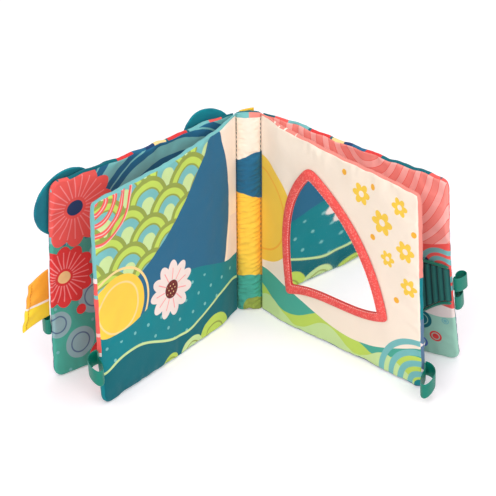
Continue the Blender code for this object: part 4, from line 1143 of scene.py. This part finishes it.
def satin(name, colour, sheen, flat_width, stripe=None):
    """Satin ribbon: fine threads across it, a dense edge along both sides painted in the sheen colour as
    a painted sheen, and a silky gloss.
    """
    ribbon = Finish(name, 0.35, Sheen_Weight=0.03, Sheen_Roughness=0.3, Specular_IOR_Level=0.35,
                    Anisotropic=0.5)
    flat = ribbon.flat()
    across, along = ribbon.axes(flat)
    # Painted sheen: both long edges are painted part way to the sheen colour.
    edge = abs(across / flat_width - 0.5).maths("MULTIPLY_ADD", 40.0, -18.2, clamp=True)
    ink = ribbon.mixed(edge * 0.45, colour, sheen)
    if stripe:
        ink = stripe(ribbon, across, along, ink)
    patch = ribbon.noise(flat, 90.0, 3.0)
    ribbon.dye(ink, patch, 0.25)
    threads = ribbon.ribs(across, SATIN_WARP) + ribbon.ribs(along, SATIN_WEFT)
    ribbon.emboss(threads * 0.2 + patch, 0.35, 0.0002)
    ribbon.wear("Roughness", patch.maths("MULTIPLY_ADD", 0.2, 0.28))
    return ribbon.material


def folded_over_spine(across, along):
    """Up the outside, over the fold and down the inside."""
    fold_z = PAGE_HEIGHT + SPINE_RIBBON_RISE - SPINE_RIBBON_FOLD - RIBBON
    foot_z = PAGE_HEIGHT - SPINE_RIBBON_DROP
    climb = np.clip(np.minimum(along, 1 - along) * 3, 0.0, 1.0)
    turn = math.pi * np.clip(2 - 3 * along, 0.0, 1.0)
    x = SPINE_RIBBON_X + (across - 0.5) * SPINE_RIBBON_WIDTH
    rise = np.sqrt(np.clip(1 - (x / SPINE_HALF) ** 2, 0.0, 1.0))
    radius = SPINE_RIBBON_FOLD + RIBBON / 2
    back = COVER_SPINE_BASE + COVER_SPINE_CROWN * rise + RIBBON + SPINE_RIBBON_FOLD
    z = foot_z + (fold_z - foot_z) * climb + SPINE_RIBBON_SLANT * (x - SPINE_RIBBON_X) * climb
    return np.stack([x, back + radius * np.cos(turn), z + radius * np.sin(turn)], axis=1)


spine_ribbon_length = 2 * (SPINE_RIBBON_DROP + SPINE_RIBBON_RISE)
spine_ribbon = cut_strip("spine_ribbon_fold", *SPINE_RIBBON_CELLS, folded_over_spine,
                         (SPINE_RIBBON_WIDTH, spine_ribbon_length), RIBBON)
spine_ribbon.data.materials.append(satin("yellow_satin", YELLOW_SATIN, ORANGE_SATIN, SPINE_RIBBON_WIDTH))
fit(spine_ribbon, "spine", "orange_ribbon", "spine_ribbon",
    flat=(SPINE_RIBBON_WIDTH, spine_ribbon_length), held="folded", rests_on=["cover_spine_pad"])


# Mirror.
# A pointed arch of mirror film on a stiff backing lies on the right page. Coral bias tape covers its
# edge all round and is sewn down with a row of short stitches near its inner edge.
MIRROR_FOOT_NEAR = (0.0338, 0.0298)
MIRROR_FOOT_FAR = (0.1385, 0.0481)
MIRROR_APEX = (0.0578, 0.1508)
MIRROR_NEAR_BULGE = 0.0157
MIRROR_NEAR_LEAN = 0.0054
MIRROR_FAR_BULGE = 0.0164
MIRROR_FOOT_LEAN = -0.0083
MIRROR_APEX_ROUND = 0.0090
MIRROR_FOOT_ROUND = 0.0050
MIRROR_INNER_ROUND_SHARE = 0.25
ARCH_SIDE_STEPS = 44
ARCH_CORNER_STEPS = 6
BACKING_LIFT = 0.0003
MIRROR_LIFT = 0.0014
MIRROR_SHEET = 0.0004
TRIM_WIDTH = 0.0085
TRIM_LIFT = 0.0021
TRIM_THICKNESS = 0.0012
TRIM_SEAM_INSET = 0.0078
TRIM_STITCH_LENGTH = 0.0012
TRIM_STITCH_LIFT = TRIM_LIFT + TRIM_THICKNESS * 0.86
TRIM_THREAD_HALF = 0.00024
TRIM_TURNS = 14
BIAS_PITCH = 0.0007
BACKING_CELLS = 24
FILM_CELLS = 64
TRIM_CORAL = shade(244, 88, 84)
TRIM_PALE = shade(255, 132, 122)
# The next colour is painted shade along the tape's outer edge.
TRIM_EDGE_SHADE = shade(214, 66, 66)
STITCH_PINK = shade(250, 190, 180)
BACKING_GREY = shade(170, 172, 175)
SILVER = shade(244, 246, 247)
ARCH_SIDES = (
    (MIRROR_FOOT_NEAR, MIRROR_APEX, MIRROR_NEAR_BULGE, MIRROR_NEAR_LEAN),
    (MIRROR_APEX, MIRROR_FOOT_FAR, MIRROR_FAR_BULGE, 0.0),
    (MIRROR_FOOT_FAR, MIRROR_FOOT_NEAR, 0.0, MIRROR_FOOT_LEAN),
)
ARCH_ROUNDS = (MIRROR_FOOT_ROUND, MIRROR_APEX_ROUND, MIRROR_FOOT_ROUND)


def bowed_side(start, end, bulge, lean):
    """A shallow arc from start to end, bulging to the left of the way there, most of it near the end."""
    share = np.linspace(0.0, 1.0, 201)[:, None]
    run = np.array(end) - start
    left = np.array((-run[1], run[0])) / np.hypot(*run)
    out = 4 * share * (1 - share) * (bulge + lean * (2 * share - 1))
    return np.array(start) + run * share + left * out


def mirror_outline(inset):
    """The pointed arch in s and z with its corners rounded, moved inwards by an inset."""
    lines = [bowed_side(*side) for side in ARCH_SIDES]
    cuts = []
    for line, before, rounding in zip(lines, lines[-1:] + lines[:-1], ARCH_ROUNDS):
        arrives = before[-1] - before[-2]
        leaves = line[1] - line[0]
        half_turn = math.acos(arrives.dot(leaves) / np.hypot(*arrives) / np.hypot(*leaves)) / 2
        cuts.append(max(rounding, inset * math.tan(half_turn) + rounding * MIRROR_INNER_ROUND_SHARE))
    sides = []
    for line, start_cut, end_cut in zip(lines, cuts, cuts[1:] + cuts[:1]):
        reach = np.concatenate([[0.0], np.cumsum(np.hypot(*np.diff(line, axis=0).T))])
        stops = np.linspace(start_cut, reach[-1] - end_cut, ARCH_SIDE_STEPS + 1)
        spots = np.stack([np.interp(stops, reach, line[:, axis]) for axis in (0, 1)], axis=1)
        ahead = np.gradient(spots, axis=0)
        ahead /= np.linalg.norm(ahead, axis=1, keepdims=True)
        sides.append((spots + np.stack([ahead[:, 1], -ahead[:, 0]], axis=1) * inset, ahead))
    outline = []
    for (spots, ahead), (next_spots, next_ahead) in zip(sides, sides[1:] + sides[:1]):
        gap = next_spots[0] - spots[-1]
        crossing = ahead[-1][0] * next_ahead[0][1] - ahead[-1][1] * next_ahead[0][0]
        run_on = (gap[0] * next_ahead[0][1] - gap[1] * next_ahead[0][0]) / crossing
        corner = spots[-1] + ahead[-1] * run_on
        share = np.linspace(0.0, 1.0, ARCH_CORNER_STEPS + 1)[1:-1, None]
        outline += [spots, spots[-1] * (1 - share) ** 2 + corner * 2 * share * (1 - share)
                    + next_spots[0] * share ** 2]
    return np.concatenate(outline)


def on_page(spots, lift, level=1.0):
    """Lays points on the right page. The mirror's stiff board lies level where the page falls off."""
    page = LEAVES["right_page"]
    s, z = spots[:, 0], spots[:, 1]
    crown = page.middle(s) + HALF_GAP + page.half_thickness(s, CROWN_REACH)
    return page.place(s, z, page.front(s, z) * (1 - level) + crown * level + lift)


def fill_arch(name, inset, lift, thickness, cells):
    """A thin sheet that fills the arch: a grid stretched out to its rim."""
    rim = mirror_outline(inset)
    middle = rim.mean(axis=0)
    rim_turn = np.arctan2(*(rim - middle).T[::-1])
    rim_reach = np.hypot(*(rim - middle).T)
    piece, column, row, _ = cut_cloth(name, cells, cells)
    across, upward = on_disc(2 * column / cells - 1, 2 * row / cells - 1)
    turn = np.arctan2(upward, across)
    reach = np.hypot(across, upward) * np.interp(turn, rim_turn, rim_reach, period=2 * math.pi)
    spots = middle + np.stack([np.cos(turn), np.sin(turn)], axis=1) * reach[:, None]
    lay_flat(piece, spots[:, 0], spots[:, 1])
    set_points(piece, on_page(spots, lift + thickness / 2))
    thicken(piece, thickness)
    smooth_off(piece, 0)
    bpy.ops.object.shade_smooth_by_angle(angle=math.radians(40))
    return piece


backing = fill_arch("mirror_backing_board", TRIM_WIDTH / 2, BACKING_LIFT, MIRROR_LIFT - 2 * BACKING_LIFT,
                    BACKING_CELLS)
board = Finish("backing_board", 0.8, Base_Color=BACKING_GREY)
board.emboss(board.noise(board.add("TexCoord", None, None, "Object"), 900.0), 0.3, 0.0002)
backing.data.materials.append(board.material)
fit(backing, "right_page", "mirror_backing", "mirror_backing")

mirror = fill_arch("mirror_film_sheet", TRIM_WIDTH / 2, MIRROR_LIFT, MIRROR_SHEET, FILM_CELLS)
film = Finish("mirror_film", 0.04, Base_Color=SILVER, Metallic=1.0)
wave = film.noise(film.flat(), 22.0, 1.0)
film.emboss(wave, 0.12, 0.0015)
film.wear("Roughness", wave.maths("MULTIPLY_ADD", 0.04, 0.02))
mirror.data.materials.append(film.material)
fit(mirror, "right_page", "mirror_film", "mirror_sheet")


def sew_trim(name):
    """Bias tape round the arch: folded along its middle, its outer half lies on the page."""
    count = len(mirror_outline(0.0))
    outlines = []
    for turn in range(TRIM_TURNS):
        angle = 2 * math.pi * turn / TRIM_TURNS
        across = (1 - math.cos(angle)) / 2
        swell = math.sin(angle)
        puff = math.copysign(abs(swell) ** 0.4, swell)
        on_board = float(ease(across / 0.45))
        rests_at = BACKING_LIFT + (TRIM_LIFT - BACKING_LIFT) * on_board
        rim = mirror_outline(TRIM_WIDTH * across)
        outlines.append(on_page(rim, rests_at + TRIM_THICKNESS * (0.5 + 0.5 * puff), on_board))
    outlines = np.array(outlines)
    piece, column, row, _ = cut_cloth(name, count, TRIM_TURNS)
    length = np.linalg.norm(outlines[0] - np.roll(outlines[0], 1, axis=0), axis=1).sum()
    lay_flat(piece, row / TRIM_TURNS * 2 * TRIM_WIDTH, column / count * length)
    set_points(piece, outlines[row % TRIM_TURNS, column % count])
    close_cloth(piece)
    smooth_off(piece)
    return piece


trim = sew_trim("mirror_bias_trim")
tape = Finish("coral_bias_tape", 0.85, Sheen_Weight=0.05, Sheen_Roughness=0.5, Specular_IOR_Level=0.2)
tape_flat = tape.flat()
tape_across, tape_along = tape.axes(tape_flat)
tape_patch = tape.noise(tape_flat, 70.0, 3.0)
twill = tape.add("TexVoronoi", None, {"Vector": tape_flat, "Scale": 820.0})
flecks = twill.maths("MULTIPLY_ADD", -4.0, 1.9, clamp=True)
# Painted shade: a darker coral is painted along the tape's outer edge, where it meets the page, for the
# shade at that edge.
folded = abs(tape_across / TRIM_WIDTH - 1).maths("MULTIPLY_ADD", 8.0, -7.2, clamp=True)
tape_ink = tape.mixed(folded * 0.8, tape.mixed(flecks, TRIM_CORAL, TRIM_PALE), TRIM_EDGE_SHADE)
tape.dye(tape_ink, tape_patch, 0.3)
bias = tape.ribs(tape_across + tape_along, BIAS_PITCH) * tape.ribs(tape_across - tape_along, BIAS_PITCH)
tape.emboss(bias * 0.25 + tape_patch, 0.5, 0.0003)
trim.data.materials.append(tape.material)
fit(trim, "right_page", "trim_cloth", "mirror_trim")

trim_seam = on_page(mirror_outline(TRIM_SEAM_INSET), TRIM_STITCH_LIFT)
trim_lifted = on_page(mirror_outline(TRIM_SEAM_INSET), TRIM_LIFT + 2 * TRIM_THICKNESS)
starts = []
ends = []
outwards = []
for index in range(len(trim_seam)):
    start = Vector(trim_seam[index])
    run = Vector(trim_seam[(index + 1) % len(trim_seam)]) - start
    starts.append(start)
    ends.append(start + run.normalized() * min(TRIM_STITCH_LENGTH, run.length * 0.8))
    outwards.append(Vector(trim_lifted[index]) - start)
trim_stitches = sew_stitches("mirror_trim_stitches", starts, ends, outwards, TRIM_THREAD_HALF,
                             spun_thread("pink_thread", STITCH_PINK))
fit(trim_stitches, "right_page", "trim_thread", "mirror_trim_thread")


# Ears.
# Two round pads of dark teal brushed cloth are sewn flat against the back of the front cover, one at its
# outer top corner and one beside the spine, so that they stand out over its edges.
EAR_RIM_HALF = 0.0009
EAR_CROWN_HALF = 0.0027
EAR_CROWN_SHARE = 0.8
EAR_CELLS = 26
EAR_TEAL = shade(8, 140, 152)
EAR_DEEP = shade(10, 112, 134)


def sew_ear(name, centre_s, centre_z, radius, seed):
    """A round pad, flat where it lies against the back of the cover and stuffed on its other side."""
    leaf = LEAVES["left_cover"]
    piece, column, row, is_front = cut_cloth(name, EAR_CELLS, EAR_CELLS, 2)
    across, upward = on_disc(*[np.sin(math.pi / 2 * (2 * line / EAR_CELLS - 1))
                               for line in (column, row)])
    from_rim = np.clip(1 - np.hypot(across, upward), 0.0, 1.0)
    puff = EAR_RIM_HALF * quarter_round(from_rim * radius / EAR_RIM_HALF)
    crown = (EAR_CROWN_HALF - EAR_RIM_HALF) * ease(from_rim / EAR_CROWN_SHARE)
    s = centre_s + across * radius
    z = centre_z + upward * radius
    lay_flat(piece, s, z)
    set_points(piece, np.stack([s, np.where(is_front, puff, -puff - crown), z], axis=1))
    close_cloth(piece)
    s, n, z = points_of(piece).T
    moved = stuff(piece, np.abs(n) < 2 * SEWN_REACH, slack=0.02, pressure=0.6, cap=0.0008, seed=seed)
    n = n + moved[:, 1] * (n < 0)
    behind_cover = 2 * np.abs(leaf.middle(s)) + 2 * HALF_GAP
    lift = n + np.sign(n) * HALF_GAP - behind_cover - EAR_RIM_HALF - HALF_GAP
    set_points(piece, leaf.place(s + moved[:, 0], z + moved[:, 2], lift))
    close_cloth(piece)
    smooth_off(piece)
    return piece


brushed = Finish("teal_brushed_cloth", 0.95, Sheen_Weight=0.1, Sheen_Roughness=0.6,
                 Specular_IOR_Level=0.15)
nap_patch = brushed.noise(brushed.flat(), 60.0, 4.0)
brushed.wear("Base Color", brushed.mixed(nap_patch.maths("MULTIPLY_ADD", 3.0, -1.0, clamp=True),
                                         EAR_TEAL, EAR_DEEP))
brushed.emboss(brushed.noise(brushed.flat(), 2200.0) * 0.5 + nap_patch, 0.6, 0.0004)
for ear_name, ear_place, ear_seed in (("corner_ear", CORNER_EAR, 19), ("spine_ear", SPINE_EAR, 23)):
    ear = sew_ear(ear_name + "_pad", *ear_place, ear_seed)
    ear.data.materials.append(brushed.material)
    fit(ear, "left_cover", "ear_fabric", ear_name + "_front_fabric", ear_name + "_back_fabric",
        ear_name + "_wadding", fill=0.4)


# Ribbon loops.
# Short lengths of green satin ribbon are folded into loops, with both ends caught in the edge seams of
# the leaves. They bend and droop a little where they leave the seam.
RIBBON_WIDTH = 0.0127
TAG_GAP = 0.0006
LOOP_START_SHARE = 0.07
LOOP_STEPS = 48
LOOP_COLUMNS = 6
GREEN_SATIN = shade(0, 128, 108)
GREEN_SHEEN = shade(16, 146, 128)
# The leaf and its pad, the height on it, the loop's length and droop, its bend in degrees, the share of
# the length that bends, and half the loop's width.
LOOPS = {
    "left_page_loop": ("left_page", "left_page", 0.041, 0.025, 0.007, 70, 0.6, 0.0048),
    "right_page_loop": ("right_page", "right_page", 0.019, 0.025, 0.007, 75, 0.6, 0.0048),
    "front_cover_loop": ("left_cover", "front_cover", 0.044, 0.014, 0.001, -118, 0.25, 0.0032),
    "back_cover_upper_loop": ("right_cover", "back_cover", 0.076, 0.014, 0.001, -90, 0.35, 0.0040),
    "back_cover_lower_loop": ("right_cover", "back_cover", 0.0575, 0.014, 0.001, -112, 0.25, 0.0034),
}


def square_to(way, *others):
    """The unit vector of a way, less what it shares with the others."""
    for other in others:
        way = way - other * way.dot(other)
    return way / np.linalg.norm(way)


def edge_frame(leaf, z):
    """Where a tag leaves a free edge at a height: the place, and the ways outward, across and upward."""
    s = drawn_in(PAGE_WIDTH, z)[0] + TAG_GAP
    n = leaf.middle(PAGE_WIDTH)
    place = leaf.place(s, z, n)
    upward = square_to(leaf.place(s, z + RIBBON_WIDTH, n) - leaf.place(s, z - RIBBON_WIDTH, n))
    outward = square_to(leaf.place(s + RIBBON_WIDTH, z, n) - place, upward)
    across = square_to(leaf.place(s, z, n + RIBBON_WIDTH) - place, upward, outward)
    return place, outward, across, upward


def loop_path(length, half_width):
    """How far out the ribbon is, and how far to one side, from one end of the loop to the other."""
    start = math.pi * LOOP_START_SHARE
    phase = start + (math.pi - 2 * start) * np.linspace(0, 1, LOOP_STEPS + 1)
    reach = (length - RIBBON / 2) * (np.sin(phase) ** 2 - math.sin(start) ** 2)
    widest = 4 / 27 ** 0.5
    spread = (half_width - RIBBON / 2) / widest * np.sin(2 * phase) * np.sin(phase)
    return reach, spread


def fold_loop(name, leaf, centre_z, length, droop, turn, bend_share, half_width):
    """One loop, bent over near its seam, then straight and drooping. Gives its ribbon's length too."""
    place, outward, across, upward = edge_frame(leaf, centre_z)
    reach, spread = loop_path(length, half_width)
    bend = length * bend_share
    turned = math.radians(turn) * np.minimum(reach / bend, 1.0)
    chord = np.minimum(reach, bend) * np.sinc(turned / 2 / math.pi)
    straight = np.maximum(reach - bend, 0.0)
    out = chord * np.cos(turned / 2) + straight * np.cos(turned) - spread * np.sin(turned)
    side = chord * np.sin(turned / 2) + straight * np.sin(turned) + spread * np.cos(turned)
    middle = place + out[:, None] * outward + side[:, None] * across
    middle -= np.array((0, 0, 1)) * (droop * (reach / length) ** 2)[:, None]

    def lay_point(width_share, length_share):
        return middle[np.rint(length_share * LOOP_STEPS).astype(int)] + (
            (width_share - 0.5) * RIBBON_WIDTH)[:, None] * upward

    ribbon_length = float(np.hypot(np.diff(reach), np.diff(spread)).sum())
    loop = cut_strip(name, LOOP_COLUMNS, LOOP_STEPS, lay_point, (RIBBON_WIDTH, ribbon_length), RIBBON)
    return loop, ribbon_length


green_satin = satin("green_satin", GREEN_SATIN, GREEN_SHEEN, RIBBON_WIDTH)
for loop_name, (leaf_name, pad_name, *loop_sizes) in LOOPS.items():
    loop, ribbon_length = fold_loop(loop_name + "_satin", LEAVES[leaf_name], *loop_sizes)
    loop.data.materials.append(green_satin)
    fit(loop, loop_name[:-4] + "ribbon", "green_ribbon", loop_name,
        flat=(RIBBON_WIDTH, ribbon_length), held="folded", rests_on=[pad_name + "_pad"])


# Side tag.
# A wide tag of orange and yellow satin with a white stripe hangs from the front cover's free edge. Its
# outer end is turned under and hemmed, and it droops.
SIDE_TAG_HEIGHT = 0.0415
SIDE_TAG_Z = 0.074
SIDE_TAG_TOP_LENGTH = 0.018
SIDE_TAG_FOOT_LENGTH = 0.0255
SIDE_TAG_DROOP = 0.009
SIDE_TAG_HALF = 0.0006
SIDE_TAG_HEM_HALF = 0.0012
SIDE_TAG_BELLY = 0.0018
SIDE_TAG_HEM = 0.003
SIDE_TAG_HEM_STEP = 0.0006
SIDE_TAG_FOOT_DROOP_SHARE = 0.7
SIDE_TAG_RIPPLE = 0.0006
TAG_COLUMNS = 26
TAG_ROWS = 36
TAG_CUT_WIDTH = 0.052
TAG_STRIPE_Z = 0.0145
TAG_STRIPE_HALF = 0.0012
TAG_STRIPE_SLANT = 0.3
TAG_DASH_PITCH = 0.0024
TAG_DASH_LENGTH = 0.0016
TAG_ORANGE = shade(255, 174, 52)
TAG_YELLOW = shade(255, 220, 52)
TAG_WHITE = shade(255, 246, 230)
TAG_THREAD = shade(222, 138, 36)


def sew_tag(name):
    """The side tag: shorter at its top, hemmed at its outer end, a little hollow and rippled."""
    place, outward, across, upward = edge_frame(LEAVES["left_cover"], SIDE_TAG_Z)
    piece, column, row, is_front = cut_cloth(name, TAG_COLUMNS, TAG_ROWS, 2)
    reach_share = (column / TAG_COLUMNS) ** 0.85
    height_share = row / TAG_ROWS
    length = SIDE_TAG_FOOT_LENGTH + (SIDE_TAG_TOP_LENGTH - SIDE_TAG_FOOT_LENGTH) * height_share
    reach = length * reach_share
    is_rim = (column == 0) | (column == TAG_COLUMNS) | (row == 0) | (row == TAG_ROWS)
    past_hem = reach_share * SIDE_TAG_FOOT_LENGTH - SIDE_TAG_FOOT_LENGTH + SIDE_TAG_HEM
    in_hem = ease(past_hem / SIDE_TAG_HEM_STEP + 0.5)
    half = (SIDE_TAG_HALF + (SIDE_TAG_HEM_HALF - SIDE_TAG_HALF) * in_hem) * ~is_rim
    sink_share = SIDE_TAG_FOOT_DROOP_SHARE + (1 - SIDE_TAG_FOOT_DROOP_SHARE) * height_share
    sink = SIDE_TAG_DROOP * sink_share * reach_share ** 1.5
    rise = (height_share - 0.5) * SIDE_TAG_HEIGHT
    belly = SIDE_TAG_BELLY * np.sin(math.pi * reach_share) * np.sin(math.pi * height_share)
    ripple = SIDE_TAG_RIPPLE * np.sin(7 * math.pi * height_share + 2 * reach_share) * reach_share ** 2
    side = belly + ripple + np.where(is_front, half, -half)
    spots = place + reach[:, None] * outward + side[:, None] * across + rise[:, None] * upward
    spots[:, 2] -= sink
    lay_flat(piece, reach, rise + SIDE_TAG_HEIGHT / 2)
    set_points(piece, spots)
    close_cloth(piece)
    smooth_off(piece)
    return piece


def tag_stripe(ribbon, across, along, ink):
    """Yellow under orange, parted by a slanting white stripe, with the hem's stitches beside the end."""
    above = along - across * TAG_STRIPE_SLANT - TAG_STRIPE_Z
    ink = ribbon.mixed(above.maths("MULTIPLY", -3000.0, clamp=True), ink, TAG_YELLOW)
    stripe = (TAG_STRIPE_HALF - abs(above)).maths("MULTIPLY", 3000.0, clamp=True)
    ink = ribbon.mixed(stripe, ink, TAG_WHITE)
    taper = (SIDE_TAG_FOOT_LENGTH - SIDE_TAG_TOP_LENGTH) / SIDE_TAG_HEIGHT
    tapered = SIDE_TAG_FOOT_LENGTH - along * taper
    in_line = abs(tapered - across - SIDE_TAG_HEM).maths("MULTIPLY_ADD", -8000.0, 2.6, clamp=True)
    dashes = (TAG_DASH_LENGTH - (along % TAG_DASH_PITCH)).maths("MULTIPLY", 9000.0, clamp=True)
    return ribbon.mixed(in_line * dashes, ink, TAG_THREAD)


side_tag = sew_tag("front_cover_tag_satin")
side_tag.data.materials.append(satin("orange_satin", TAG_ORANGE, TAG_ORANGE, TAG_CUT_WIDTH, tag_stripe))
fit(side_tag, "side_tag", "orange_ribbon", "front_cover_side_tag",
    flat=(SIDE_TAG_HEIGHT, SIDE_TAG_FOOT_LENGTH), held="hung", rests_on=["front_cover_pad"],
    area=SIDE_TAG_HEIGHT * (SIDE_TAG_FOOT_LENGTH + SIDE_TAG_TOP_LENGTH) / 2)


# Ribbed panel.
# A piece of dark green ribbed cloth is sewn to the back cover beside its free edge. A round binding
# closes its top, and another follows the swoop of its foot.
RIB_COUNT = 8
RIB_STEPS = 8
RIB_ROWS = 18
RIB_HEIGHT = 0.0011
RIB_ROW_PITCH = 0.0009
PANEL_LIFT = 0.0003
PANEL_BASE = 0.0008
BINDING_WIDTH = 0.003
BINDING_THICKNESS = 0.0022
BINDING_COLUMNS = 30
BINDING_TURNS = 12
BINDING_THREAD = 0.0006
TOP_GAP = 0.0003
SWOOP_GAP = 0.0004
RIB_GREEN = shade(42, 116, 108)
# The next colour is painted shade in the grooves between the ribs.
RIB_GROOVE_SHADE = shade(10, 54, 58)
BINDING_GREEN = shade(0, 122, 100)


def panel_foot(s):
    share = (PANEL_END - s) / PANEL_WIDTH
    return PANEL_LOW + (PANEL_HIGH - PANEL_LOW) * (1 + np.cos(math.pi * share)) / 2


def on_cover(s, z, lift):
    cover = LEAVES["right_cover"]
    drawn_s, drawn_z = drawn_in(s, z)
    return cover.place(drawn_s, drawn_z, cover.front(s, z) + lift)


def lay_ribs(across, along):
    s = PANEL_START + PANEL_WIDTH * across
    foot = panel_foot(s)
    rib = RIB_HEIGHT * np.abs(np.sin(math.pi * RIB_COUNT * across)) ** 0.7
    return on_cover(s, foot + (PANEL_TOP - foot) * along, PANEL_LIFT + PANEL_BASE / 2 + rib)


panel_height = PANEL_TOP - (PANEL_LOW + PANEL_HIGH) / 2
ribbed_panel = cut_strip("back_cover_rib_cloth", RIB_COUNT * RIB_STEPS, RIB_ROWS, lay_ribs,
                         (PANEL_WIDTH, PANEL_TOP - PANEL_LOW), PANEL_BASE)
ribbed = Finish("green_rib_cloth", 0.9, Sheen_Weight=0.1, Sheen_Roughness=0.5, Specular_IOR_Level=0.2)
rib_across, rib_along = ribbed.axes(ribbed.flat())
# Painted light and shade: the rib tops are painted lighter and the grooves darker, with a little random
# tone from the nap.
rib_top = abs((rib_across * (math.pi * RIB_COUNT / PANEL_WIDTH)).maths("SINE"))
rib_nap = ribbed.noise(ribbed.flat(), 1500.0)
rib_light = (rib_top * 1.2 + rib_nap * 0.3).maths("SUBTRACT", 0.2, clamp=True)
ribbed.wear("Base Color", ribbed.mixed(rib_light, RIB_GROOVE_SHADE, RIB_GREEN))
ribbed.emboss(ribbed.ribs(rib_along, RIB_ROW_PITCH) * 0.2 + rib_nap, 0.5, 0.0003)
ribbed_panel.data.materials.append(ribbed.material)
fit(ribbed_panel, "right_cover", "ribbed_cloth", "back_cover_ribbed_panel",
    flat=(PANEL_WIDTH, PANEL_TOP - PANEL_LOW), held="laid", rests_on=["back_cover_pad"],
    area=PANEL_WIDTH * panel_height)


def sew_binding(name, lower):
    """A round binding across the panel, as wide as BINDING_WIDTH above the line given."""
    piece, column, row, _ = cut_cloth(name, BINDING_COLUMNS, BINDING_TURNS)
    from_start = column / BINDING_COLUMNS * PANEL_WIDTH
    angle = 2 * math.pi * row / BINDING_TURNS
    from_end = np.minimum(from_start, PANEL_WIDTH - from_start)
    full = quarter_round(from_end / (BINDING_THICKNESS / 2)) * 0.75 + 0.25
    s = PANEL_START + from_start
    z = lower(s) + BINDING_WIDTH / 2 * (1 - np.cos(angle) * full)
    lift = PANEL_LIFT + BINDING_THICKNESS / 2 * (1 + np.sin(angle) * full)
    lay_flat(piece, from_start, row / BINDING_TURNS * 2 * BINDING_WIDTH)
    set_points(piece, on_cover(s, z, lift))
    close_cloth(piece, fill_ends=True)
    smooth_off(piece)
    return piece


binding_cloth = Finish("green_binding", 0.6, Sheen_Weight=0.3, Specular_IOR_Level=0.35)
binding_nap = binding_cloth.noise(binding_cloth.flat(), 160.0, 4.0)
binding_cloth.dye(BINDING_GREEN, binding_nap, 0.5)
binding_threads = binding_cloth.ribs(binding_cloth.axes(binding_cloth.flat())[0], BINDING_THREAD)
binding_cloth.emboss(binding_threads * 0.2 + binding_nap, 0.5, 0.0003)
for binding_name, node_name, lower in (
        ("back_cover_top_binding_tape", "back_cover_panel_top_binding", lambda s: PANEL_TOP + TOP_GAP),
        ("back_cover_foot_binding_tape", "back_cover_panel_foot_binding",
         lambda s: panel_foot(s) - SWOOP_GAP - BINDING_WIDTH)):
    binding = sew_binding(binding_name, lower)
    binding.data.materials.append(binding_cloth.material)
    fit(binding, "right_cover", "panel_binding", node_name)
